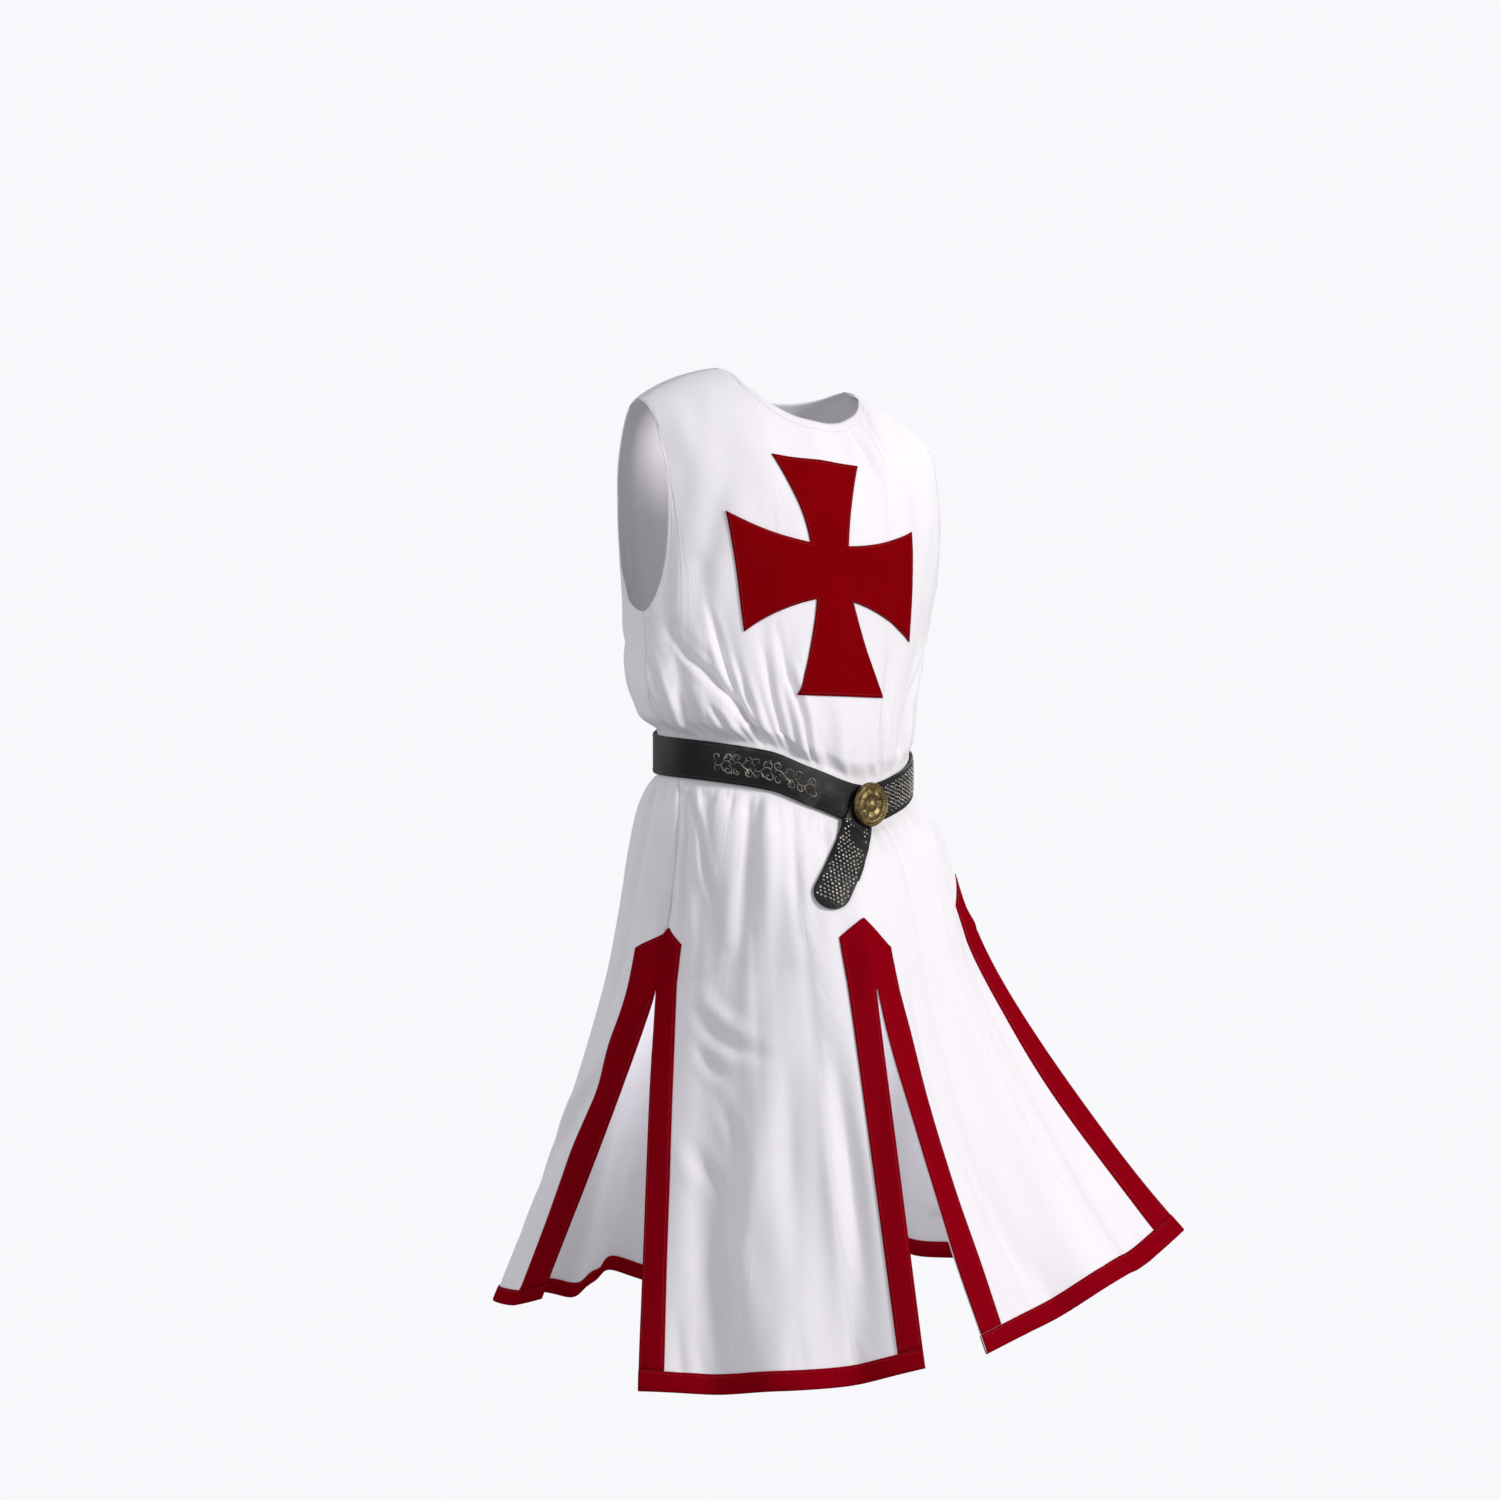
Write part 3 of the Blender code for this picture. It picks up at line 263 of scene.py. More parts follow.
HEM_PUCKERS = [-0.86, -0.79, -0.755, -0.715, -0.66, -0.46, -0.42, -0.24, 0.16, 0.34, 0.55, 0.83]
BACK_PUCKERS = [1.12, 1.31, 1.54, 1.77, 1.99, 2.21, 2.46, 2.71, 2.88]
HEM_LINE = {"turn": [-1, 0, 0.5, 1, 2, 3], "height": [-1.040, -1.010, -0.955, -0.930, -1.005, -0.985]}
GATHERS = 54
STREAKS = 44
BY_HAND = (LARGE_FOLDS, ADDED_FOLDS, CREASES, HEM_PUCKERS, BACK_PUCKERS)
print("folds, creases and puckers placed by hand:", sum(len(table) for table in BY_HAND))

# %% [markdown]
# ## Reading the garment's surface
# A point on the cloth is named by its turn round the body (0 at the centre front, 1 at the left side seam,
# 2 at the centre back) and its drop (0 at the top edge, 1 at the waist, 2 at the hem). Tables are read
# through a curve that keeps their shape and never overshoots, so a straight run in a table stays straight
# in the cloth.

# %% Body, waist and hem
NECK_CURVE = 0.6
SHOULDER_CURVE = 1.2
SHOULDER_ROUND = 2.4
FLARE, FLARE_START, FLARE_FADE = 0.030, 0.05, 1.5
SWAY_START, SWAY_FADE = 0.08, 1.2


def smooth_table(places, values, at):
    """Read a table as a smooth curve that passes through every row."""
    places = np.asarray(places, float)
    values = np.asarray(values, float)
    rise = np.diff(values) / np.diff(places)
    same_way = rise[:-1] * rise[1:] > 0
    total = np.where(same_way, rise[:-1] + rise[1:], 1)
    inside = np.where(same_way, 2 * rise[:-1] * rise[1:] / total, 0)
    slopes = np.concatenate([[1.5 * rise[0] - 0.5 * inside[0]], inside, [1.5 * rise[-1] - 0.5 * inside[-1]]])
    at = np.clip(at, places[0], places[-1])
    row = np.clip(np.searchsorted(places, at, side="right") - 1, 0, len(places) - 2)
    step = places[row + 1] - places[row]
    s = (at - places[row]) / step
    start = (2 * s**3 - 3 * s**2 + 1) * values[row] + (s**3 - 2 * s**2 + s) * step * slopes[row]
    end = (3 * s**2 - 2 * s**3) * values[row + 1] + (s**3 - s**2) * step * slopes[row + 1]
    return start + end


def angle_of(turn):
    turn = np.asarray(turn, float)
    turn = np.where(turn > 2, turn - 4, turn)
    far = SEAM_ANGLE + (np.abs(turn) - 1) * (math.pi - SEAM_ANGLE)
    return np.sign(turn) * np.where(np.abs(turn) <= 1, np.abs(turn) * SEAM_ANGLE, far)


def waist_height(angle):
    around = (np.degrees(angle) + 180) % 360 - 180
    angles, heights = BELT_LINE["angle"], BELT_LINE["height"]
    angles = [angles[-2] - 360, *angles, angles[1] + 360]
    return smooth_table(angles, [heights[-2], *heights, heights[1]], around)


def shoulder_height(angle):
    side = np.minimum(np.abs(angle), math.pi - np.abs(angle))
    out = np.maximum(side - NECK_ANGLE, 0) / (TIP_ANGLE - NECK_ANGLE)
    return -SHOULDER_SLOPE * out**SHOULDER_CURVE


def top_height(turn):
    """Height of the top edge: neckline, shoulder seam and armhole in turn."""
    angle = np.abs(angle_of(turn))
    back = angle > SEAM_ANGLE
    side = np.where(back, math.pi - angle, angle)
    last = np.where(back, math.pi - SEAM_ANGLE, SEAM_ANGLE)
    neck_drop = np.where(back, BACK_NECK_DROP, FRONT_NECK_DROP)
    across = np.clip(side / NECK_ANGLE, 0, 1)
    neck = -neck_drop * (1 - across**2) ** NECK_CURVE
    out = np.clip((side - TIP_ANGLE) / (last - TIP_ANGLE), 0, 1)
    armhole = -SHOULDER_SLOPE + (UNDERARM + SHOULDER_SLOPE) * np.sqrt(1 - (1 - out) ** 2)
    return np.where(side < NECK_ANGLE, neck, np.where(side > TIP_ANGLE, armhole, shoulder_height(angle)))


def body_point(turn, height):
    angle = angle_of(turn)
    level = np.clip(height / waist_height(angle), 0, 1)
    half_width, half_depth, centre_x, twist = [
        smooth_table(SECTIONS["level"], SECTIONS[key], level)
        for key in ("half_width", "half_depth", "centre_x", "twist")]
    reach = np.clip((height - CHEST_TOP) / (shoulder_height(angle) - CHEST_TOP), 0, 1)
    x = half_width * np.sin(angle)
    y = -half_depth * np.cos(angle) * np.sqrt(np.maximum(1 - reach**SHOULDER_ROUND, 0))
    twist = np.radians(twist)
    z = height - x * math.tan(SHOULDER_ROLL) * (1 - level)
    return np.stack([centre_x + x * np.cos(twist) - y * np.sin(twist),
                     x * np.sin(twist) + y * np.cos(twist), z], axis=-1)


def hem_points(panel, share):
    hem = HEMS[panel]
    return np.stack([smooth_table(hem["share"], hem[key], share) for key in "xyz"], axis=-1)


def slit_swing(panel, last):
    """How far a panel's corner has swung from the middle of its slit."""
    order = ["front_right", "front_left", "back"]
    place = order.index(panel)
    other = order[(place + 1) % 3] if last else order[place - 1]
    here = np.array([HEMS[panel][key][-1 if last else 0] for key in "xyz"])
    there = np.array([HEMS[other][key][0 if last else -1] for key in "xyz"])
    return (here - there) / 2


def swing_share(panel, across, share_down, opening):
    """Part of its swing that a panel has: none above a slit's opening, a soft start in the back's middle."""
    soft = SWING_SOFTNESS * 4 * across * (1 - across) if panel == "back" else 0 * across

    def ramp(share):
        return (share - opening + np.sqrt((share - opening) ** 2 + soft**2)) / 2

    return np.clip((ramp(share_down) - ramp(0)) / (ramp(1) - ramp(0)), 0, 1)


def skirt_point(panel, turn, share_down):
    first, last = HEMS[panel]["turn"]
    across = (turn - first) / (last - first)
    angle = angle_of(turn)
    waist = body_point(turn, waist_height(angle))
    hem = hem_points(panel, across)
    length = np.linalg.norm(hem - waist, axis=-1)
    opening = smooth_table(SLITS["turn"], SLITS["open"], turn) / length
    swing_first = (1 - across)[..., None] * slit_swing(panel, False)
    swing_last = across[..., None] * slit_swing(panel, True)
    closed_hem = hem - swing_first - swing_last
    hidden = BELT_COVER / length
    fall = np.clip((share_down - hidden) / (1 - hidden), 0, 1)
    flare = FLARE * (1 - np.exp(-fall / FLARE_START)) * (1 - fall) ** FLARE_FADE
    outward = np.stack([np.sin(angle), -np.cos(angle), np.zeros_like(angle)], axis=-1)
    swing = (swing_share(panel, across, share_down, opening) ** SWING_CURVE[panel])[..., None]
    push = (1 - np.exp(-fall / SWAY_START)) * (1 - fall) ** SWAY_FADE
    point = waist + (closed_hem - waist) * fall[..., None] + outward * flare[..., None]
    point[..., 0] += smooth_table(SWAY["turn"], SWAY["x"], turn) * push
    point[..., 1] += smooth_table(SWAY["turn"], SWAY["y"], turn) * push
    point[..., 2] = waist[..., 2] + (closed_hem - waist)[..., 2] * share_down
    return point + swing * (swing_first + swing_last)


def smooth_point(panel, turn, drop):
    top = top_height(turn)
    waist = waist_height(angle_of(turn))
    bodice = body_point(turn, top + (waist - top) * np.clip(drop, 0, 1))
    skirt = skirt_point(panel, turn, np.clip(drop - 1, 0, 1))
    return np.where((drop < 1)[..., None], bodice, skirt)


print("front waist at", smooth_point("front_left", np.array([0.0]), np.array([1.0]))[0].round(3))

# %% [markdown]
# ## Folds, gathers and crumple
# Several scales of relief are summed and pushed out along the smooth surface's own direction: the
# listed folds and creases, a run of short uneven gathers on both sides of the belt, puckers along the
# hem, long faint streaks down the skirt, and waves that keep broad panels from looking ironed. A crease is
# a sharp valley whose lips stand a little proud, as pinched cloth does. A seeded generator keeps every
# run the same.

# %% Small folds by rule
rng = np.random.default_rng(12)
SPREADS = {
    "gather": {"shift": 0.38, "lean": 0.04, "run": (0.016, 0.070), "half_width": (0.0040, 0.0070),
               "depth": (0.0014, 0.0042), "end": -0.0003},
    "pucker": {"lean": 0.02, "run": (0.03, 0.07), "half_width": (0.005, 0.008),
               "depth": (0.0020, 0.0036), "end": -0.0004},
    "streak": {"shift": 0.45, "lean": 0.05, "run": (0.15, 0.40), "half_width": (0.006, 0.012),
               "depth": (0.0006, 0.0016), "end": 0.0},
}
STREAK_TOPS = (-0.62, -0.50)


def spaced_turn(kind, place, count):
    """Turn of one of many small folds, even but for a random shift."""
    shift = SPREADS[kind]["shift"]
    return -2 + 4 * (place + rng.uniform(-shift, shift)) / count


def small_fold(kind, turn, height, way):
    """One row for the fold table, running up where way is 1 and down where it is -1. Streaks rise or sink."""
    spread = SPREADS[kind]
    lean = rng.uniform(-spread["lean"], spread["lean"])
    run, half_width = rng.uniform(*spread["run"]), rng.uniform(*spread["half_width"])
    sign = rng.choice([-1, 1]) if kind == "streak" else -1
    depth = sign * rng.uniform(*spread["depth"])
    return (kind, turn, height, turn + lean, height + way * run, half_width, depth, spread["end"])


SOFT_FOLDS = LARGE_FOLDS + ADDED_FOLDS
for place in range(GATHERS):
    turn = spaced_turn("gather", place, GATHERS)
    waist = float(waist_height(angle_of(turn)))
    SOFT_FOLDS += [small_fold("gather", turn, waist + way * BELT_CLEAR, way) for way in (1, -1)]
for turn in HEM_PUCKERS + BACK_PUCKERS:
    hem = float(smooth_table(HEM_LINE["turn"], HEM_LINE["height"], turn))
    SOFT_FOLDS.append(small_fold("pucker", turn, hem, 1))
for place in range(STREAKS):
    turn = spaced_turn("streak", place, STREAKS)
    SOFT_FOLDS.append(small_fold("streak", turn, rng.uniform(*STREAK_TOPS), -1))

WAVES = 22
WAVE_RISE = 0.00016
WAVE_LENGTH = 0.06
wave_angle = rng.uniform(-0.5, 0.5, WAVES)
wave_length = rng.uniform(WAVE_LENGTH / 2, WAVE_LENGTH * 1.5, WAVES)
wave_phase = rng.uniform(0, 2 * math.pi, WAVES)
wave_height = WAVE_RISE * (wave_length / WAVE_LENGTH)
print("soft folds:", len(SOFT_FOLDS), "creases:", len(CREASES), "waves:", WAVES)

# %% [markdown]
# ## Adding the relief up
# A crease is read as its distance from a bent line. Its ends fade out, but one that starts at the belt
# keeps its full depth there, since the belt is what pinches it. All relief fades under the belt and at the
# shoulder seams, where a maker has pressed the cloth flat. The direction in which the relief stands out
# comes from the smooth surface, by stepping a little way across and down it.

# %% Relief of the cloth
NEAR_BELT = 0.05
CREASE_FADE = 0.40
CREASE_END = 0.08
LIP_RISE, LIP_PLACE, LIP_WIDTH = 0.42, 2.0, 1.1
SHOULDER_FADE = 0.035
STEP = 0.01


def around_to(turn, place):
    """Distance round the body from a place to each turn, in metres, the shorter way."""
    return ((turn - place + 2) % 4 - 2) * TURN_LENGTH


def fold_of(turn, height, row):
    """Depth of one straight fold at each point."""
    fold = dict(zip(FOLD_COLUMNS, row))
    run = np.array([(fold["turn_b"] - fold["turn_a"]) * TURN_LENGTH, fold["height_b"] - fold["height_a"]])
    across = around_to(turn, fold["turn_a"])
    down = height - fold["height_a"]
    along = np.clip((across * run[0] + down * run[1]) / (run @ run), 0, 1)
    away = np.hypot(across - along * run[0], down - along * run[1]) / fold["half_width"]
    return (fold["depth_a"] + (fold["depth_b"] - fold["depth_a"]) * along) * np.exp(-away**2)


def crease_of(turn, height, half_width, depth, places):
    """Depth of one bent crease: a valley between two low lips, fading towards its ends."""
    best = np.full(height.shape, 9.0)
    share = np.zeros(height.shape)
    travel = [0.0]
    for here, there in zip(places, places[1:]):
        travel.append(travel[-1] + math.hypot((there[0] - here[0]) * TURN_LENGTH, there[1] - here[1]))
    for index, (here, there) in enumerate(zip(places, places[1:])):
        run = np.array([(there[0] - here[0]) * TURN_LENGTH, there[1] - here[1]])
        across = around_to(turn, here[0])
        down = height - here[1]
        along = np.clip((across * run[0] + down * run[1]) / (run @ run), 0, 1)
        away = np.hypot(across - along * run[0], down - along * run[1])
        nearer = away < best
        best = np.where(nearer, away, best)
        length = travel[index + 1] - travel[index]
        share = np.where(nearer, (travel[index] + along * length) / travel[-1], share)
    away = best / half_width
    fade = np.ones(height.shape)
    for end, reach in ((places[0], share), (places[-1], 1 - share)):
        if abs(end[1] - float(waist_height(angle_of(end[0])))) > NEAR_BELT:
            fade *= np.clip(reach / CREASE_FADE, 0, 1) * (1 - CREASE_END) + CREASE_END
    lips = LIP_RISE * np.exp(-(((away - LIP_PLACE) / LIP_WIDTH) ** 2))
    return depth * fade * (np.exp(-away**2) - lips)


def fold_depth(turn, point):
    """Depth of all folds at each point, none of them under the belt."""
    height = point[..., 2]
    total = np.zeros_like(height)
    for row in SOFT_FOLDS:
        total += fold_of(turn, height, row)
    for half_width, depth, places in CREASES.values():
        total += crease_of(turn, height, half_width, depth, places)
    x = np.where(turn > 2, turn - 4, turn) * TURN_LENGTH
    for angle, length, phase, rise in zip(wave_angle, wave_length, wave_phase, wave_height):
        along = x * math.cos(angle) + height * math.sin(angle)
        total += rise * np.sin(2 * math.pi * along / length + phase)
    from_belt = np.abs(height - waist_height(angle_of(turn))) - BELT_CLEAR
    return total * np.clip(from_belt / BELT_FADE, 0, 1)


def cloth_point(panel, turn, drop, lift=0.0):
    """Point on the folded cloth, moved out by a lift, and the smooth surface's outward direction there."""
    turn = np.asarray(turn, float)
    drop = np.asarray(drop, float)
    base = smooth_point(panel, turn, drop)
    last = HEMS[panel]["turn"][1]
    side = np.where(turn + STEP > last, -STEP, STEP)
    rise = np.where(drop + STEP > 2, -STEP, STEP)
    across = (smooth_point(panel, turn + side, drop) - base) * np.sign(side)[..., None]
    down = (smooth_point(panel, turn, drop + rise) - base) * np.sign(rise)[..., None]
    out = np.cross(down, across)
    out /= np.linalg.norm(out, axis=-1)[..., None] + 1e-12
    angle = angle_of(turn)
    top = top_height(turn)
    below_seam = shoulder_height(angle) - top + (top - waist_height(angle)) * np.clip(drop, 0, 1)
    depth = fold_depth(turn, base) * np.clip(below_seam / SHOULDER_FADE, 0, 1) + lift
    return base + out * depth[..., None], out


hip = cloth_point("front_right", np.array([-0.5]), np.array([1.3]))[0][0]
print("a point on the folded right hip:", hip.round(3))

# %% [markdown]
# ## The cutting grid
# Each half panel is laid out on a grid of 12 columns and 28 rows. Column 0 is the middle, column 12 the
# side seam; the first and last columns are as wide as a facing, and named rows fall on the waist, the
# facing's point and the hem band. Whole numbers fall on the frame's own corners, and fractions between them
# give the fine mesh, so every layer of cloth can be cut on the same lines.

# %% Grid lines
UPPER_ROWS = np.array([0.0, 0.05, 0.12, 0.22, 0.34, 0.47, 0.60, 0.73, 0.86])
WAIST_ROWS = [0.075, 0.052, 0.036, 0.022, 0.0]
BELOW_ROWS = [0.0275, 0.041, 0.075]
SKIRT_ROWS = 7
NECK_COLUMN, TIP_COLUMN, SIDE_COLUMN = 3, 7, 12
UPPER_CURVE = 1.25
WAIST_HALF, HEM_GROWTH = 0.20, 0.12
BLEND_START, BLEND_REACH = 0.25, 0.55
WAIST_ROW = len(UPPER_ROWS) + len(WAIST_ROWS) - 1
POINT_ROW = WAIST_ROW + len(BELOW_ROWS) + 2
OPEN_ROW = POINT_ROW + 2
BAND_ROW = OPEN_ROW + SKIRT_ROWS
HEM_ROW = BAND_ROW + 1
HALVES = {
    "front_right": {"side": -1, "panel": "front_right", "middle": 0.0},
    "front_left": {"side": 1, "panel": "front_left", "middle": 0.0},
    "back_left": {"side": -1, "panel": "back", "middle": 2.0},
    "back_right": {"side": 1, "panel": "back", "middle": 2.0},
}


def column_turns(back, column, drop):
    """Turn, from the middle, of fractional columns at given drops."""
    last = math.pi - SEAM_ANGLE if back else SEAM_ANGLE
    neck, tip = NECK_ANGLE / last, TIP_ANGLE / last
    sweep = np.clip((column - TIP_COLUMN) / (SIDE_COLUMN - TIP_COLUMN), 0, 1) * math.pi / 2
    at_top = np.where(column < NECK_COLUMN, neck * column / NECK_COLUMN,
                      neck + (tip - neck) * (column - NECK_COLUMN) / (TIP_COLUMN - NECK_COLUMN))
    at_top = np.where(column > TIP_COLUMN, tip + (1 - tip) * (1 - np.cos(sweep)), at_top)
    band = TRIM_WIDTH / (WAIST_HALF + HEM_GROWTH * np.clip(drop - 1, 0, None))
    inner = np.zeros_like(band) if back else band
    first = 0 if back else 1
    share = (column - first) / (SIDE_COLUMN - 1 - first)
    at_hem = inner + (1 - band - inner) * share
    at_hem = np.where(column > SIDE_COLUMN - 1, 1 - band * (SIDE_COLUMN - column), at_hem)
    if not back:
        at_hem = np.where(column < 1, band * column, at_hem)
    blend = np.clip((drop - BLEND_START) / BLEND_REACH, 0, 1)
    blend = blend * blend * (3 - 2 * blend)
    return at_top * (1 - blend) + at_hem * blend


def row_table(panel, turn):
    """Drop of every whole row at each turn, stacked along the first axis."""
    top = top_height(turn)
    waist = waist_height(angle_of(turn))
    blouse = waist + WAIST_ROWS[0]
    rows = [(share**UPPER_CURVE) * (blouse - top) / (waist - top) for share in UPPER_ROWS]
    rows += [1 - rise / (top - waist) for rise in WAIST_ROWS]
    first, last = HEMS[panel]["turn"]
    across = (turn - first) / (last - first)
    start = body_point(turn, waist)
    length = np.linalg.norm(hem_points(panel, across) - start, axis=-1)
    point = smooth_table(SLITS["turn"], SLITS["point"], turn)
    opening = smooth_table(SLITS["turn"], SLITS["open"], turn)
    below = [np.full_like(turn, distance) for distance in BELOW_ROWS]
    below += [(BELOW_ROWS[-1] + point) / 2, point, point + TRIM_WIDTH, opening]
    band = length - HEM_WIDTH
    below += [opening + (band - opening) * n / SKIRT_ROWS for n in range(1, SKIRT_ROWS + 1)]
    below.append(length)
    return np.stack(rows + [1 + distance / length for distance in below])


def grid_place(half, column, row):
    """Turn and drop of fractional columns and rows of one half panel."""
    side, panel, middle = [HALVES[half][key] for key in ("side", "panel", "middle")]
    column, row = np.broadcast_arrays(np.asarray(column, float), np.asarray(row, float))
    guide = row_table(panel, np.array([middle + side * 0.5]))[:, 0]
    rough = np.interp(row, np.arange(HEM_ROW + 1), guide)
    turn = middle + side * column_turns(panel == "back", column, rough)
    whole = np.clip(np.floor(row).astype(int), 0, HEM_ROW - 1)
    table = row_table(panel, turn.ravel())
    index = np.arange(table.shape[1])
    low = table[whole.ravel(), index]
    high = table[whole.ravel() + 1, index]
    drop = (low + (high - low) * (row - whole).ravel()).reshape(turn.shape)
    return turn, drop


def on_cloth(half, column, row, lift=0.0):
    turn, drop = grid_place(half, column, row)
    return cloth_point(HALVES[half]["panel"], turn, drop, lift)


print("grid rows:", HEM_ROW, "with the waist at", WAIST_ROW, "and the hem band at", BAND_ROW)

# %% [markdown]
# ## Shader maths as plain expressions
# A material here is written like a sum. `Wire` wraps one output socket, and its operators add Math nodes,
# so that `1 - mask * 0.3` reads as it is meant. Every other node comes from `Bench.node`, which takes a
# type, then settings, then what goes into its sockets. The sky is made on a bench too.

# %% Wires and benches
class Wire:
    """One output of a shader node, on which sums can be written."""

    def __init__(self, bench, socket):
        self.bench = bench
        self.socket = socket

    def sum(self, operation, first, second=None):
        inputs = {0: first} if second is None else {0: first, 1: second}
        return self.bench.node("ShaderNodeMath", {"operation": operation}, inputs)

    def __add__(self, other):
        return self.sum("ADD", self, other)

    def __sub__(self, other):
        return self.sum("SUBTRACT", self, other)

    def __mul__(self, other):
        return self.sum("MULTIPLY", self, other)

    def __radd__(self, other):
        return self.sum("ADD", other, self)

    def __rsub__(self, other):
        return self.sum("SUBTRACT", other, self)

    def __rmul__(self, other):
        return self.sum("MULTIPLY", other, self)

    def sine(self):
        return self.sum("SINE", self)

    def above(self, edge):
        return self.sum("GREATER_THAN", self, edge)


class Bench:
    """A material or a sky being made: its node tree, and the shader that it feeds."""

    def __init__(self, made, constants, shader="Principled BSDF"):
        made.use_nodes = True
        self.made = made
        self.tree = made.node_tree
        self.shader = self.tree.nodes[shader]
        for socket, value in constants.items():
            self.feed(socket, value)

    def node(self, kind, settings=None, inputs=None, output=0):
        made = self.tree.nodes.new(kind)
        for name, value in (settings or {}).items():
            if name == "stops":
                ramp = made.color_ramp
                ramp.elements[0].position, ramp.elements[0].color = value[0]
                ramp.elements[1].position, ramp.elements[1].color = value[-1]
                for position, colour in value[1:-1]:
                    ramp.elements.new(position).color = colour
            else:
                setattr(made, name, value)
        for name, value in (inputs or {}).items():
            self.plug(value, made.inputs[name])
        return Wire(self, made.outputs[output])

    def plug(self, value, socket):
        if isinstance(value, Wire):
            self.tree.links.new(value.socket, socket)
        else:
            socket.default_value = value

    def feed(self, socket, value):
        self.plug(value, self.shader.inputs[socket])

    def own_place(self):
        return self.node("ShaderNodeTexCoord", output="Object")

    def mix(self, factor, first, second):
        return self.node("ShaderNodeMix", {"data_type": "RGBA"}, {0: factor, 6: first, 7: second}, output=2)

    def noise(self, vector, scale, detail=2.0, roughness=0.5):
        return self.node("ShaderNodeTexNoise", inputs={"Vector": vector, "Scale": scale, "Detail": detail,
                                                       "Roughness": roughness})

    def bump(self, height, distance, strength=1.0, over=None):
        inputs = {"Height": height, "Distance": distance, "Strength": strength}
        if over is not None:
            inputs["Normal"] = over
        return self.node("ShaderNodeBump", inputs=inputs)


def finish_bench(name, constants):
    return Bench(bpy.data.materials.new(name), constants)


print("shader tools:", Wire.__name__, "and", Bench.__name__)

# %% [markdown]
# ## Twill, red and white
# Twill shows fine diagonal ribs, each thread a little lighter or darker. The ribs follow the cloth and not
# the room, so the mesh carries an attribute named weave, which gives each point's place on the flat cloth
# in metres. A sine of its diagonal makes the ribs, a second one across breaks them into threads, and soft
# noise adds the crumple that is too small to model. Sheen is a constant of the fibre.

# %% Cloth materials
RIB = 0.0011
THREAD = 0.0009
SLUB_SCALE = (900.0, 120.0, 1.0)


def twill(name, colour, deep, sheen, roughness):
    """A twill of one colour: deep is the colour between the threads and in worn, shaded spots."""
    tint = (1, *[min(1, c * 1.15 + 0.02) for c in colour[1:3]], 1)
    bench = finish_bench(name, {"Sheen Weight": sheen, "Sheen Roughness": 0.45, "Sheen Tint": tint,
                                "Specular IOR Level": 0.4 * sheen})
    place = bench.node("ShaderNodeAttribute", {"attribute_name": "weave"}, output="Vector")
    across, down = [bench.node("ShaderNodeSeparateXYZ", inputs={0: place}, output=axis) for axis in (0, 1)]
    ribs = ((across + down) * (2 * math.pi / RIB)).sine()
    threads = ((down - across) * (2 * math.pi / THREAD)).sine()
    weave = ribs * 0.35 + threads * 0.15 + 0.5
    drawn_out = bench.node("ShaderNodeVectorMath", {"operation": "MULTIPLY"}, {0: place, 1: SLUB_SCALE})
    slub = bench.noise(drawn_out, 1.0)
    patch = bench.noise(place, 9.0, 3.0)
    crumple = bench.noise(place, 55.0, 3.0, 0.55)
    soft = bench.noise(place, 21.0)
    tone = weave * 0.22 + slub * 0.30 + patch * 0.48
    bench.feed("Base Color", bench.mix(tone, deep, colour))
    bench.feed("Roughness", roughness - 0.10 * patch + 0.06 * weave)
    relief = bench.bump(weave + slub * 0.4, 0.00012, 0.55)
    relief = bench.bump(crumple, 0.0011, 0.35, relief)
    bench.feed("Normal", bench.bump(soft, 0.0030, 0.30, relief))
    return bench.made


WHITE = twill("White twill", (0.84, 0.825, 0.85, 1), (0.76, 0.735, 0.775, 1), 0.15, 0.80)
RED = twill("Red twill", (0.275, 0.0006, 0.0075, 1), (0.175, 0.0004, 0.0042, 1), 0.0, 0.85)
# The cross's red is the facings' red twill made darker. That darkness is painted shade, standing for the
# shade that falls on the chest.
SHADED_CROSS_RED = twill("Cross red twill with painted shade", (0.235, 0.0005, 0.0030, 1), (0.155, 0.0004, 0.0020, 1), 0.0, 0.85)
print("cloth materials:", WHITE.name, "and", RED.name, "and", SHADED_CROSS_RED.name)

# %% [markdown]
# ## Leather, brass and thread
# The strap is black grained leather, greyer in worn spots, with a coarser pebble on its loose end.
# The metal has aged: bright where hands rub it, brown in its grooves. Pointiness would find the grooves
# only on dense meshes and is lost on export, so a noise in the object's own space mottles it instead.
# Thread is a plain twisted cotton.

# %% Belt and thread materials
LEATHER_DEEP = (0.0035, 0.003, 0.0035, 1)
LEATHER_BODY = (0.010, 0.009, 0.009, 1)
LEATHER_WORN = (0.050, 0.047, 0.044, 1)
WORN_FROM, WORN_GAIN = 0.56, 5.0


def leather(name, grain, depth):
    bench = finish_bench(name, {"Specular IOR Level": 0.22})
    place = bench.own_place()
    cells = bench.node("ShaderNodeTexVoronoi", {"feature": "SMOOTH_F1"}, {"Vector": place, "Scale": grain})
    mottle = bench.noise(place, 60.0, 3.0)
    scuff = bench.noise(place, 24.0, 5.0, 0.65)
    past = scuff - WORN_FROM
    worn = past * WORN_GAIN * past.above(0.0)
    body = bench.mix(mottle, LEATHER_DEEP, LEATHER_BODY)
    bench.feed("Base Color", bench.mix(worn, body, LEATHER_WORN))
    bench.feed("Roughness", 0.36 + 0.22 * mottle)
    relief = bench.bump(cells, depth, 0.8)
    bench.feed("Normal", bench.bump(scuff, 0.0008, 0.25, relief))
    return bench.made


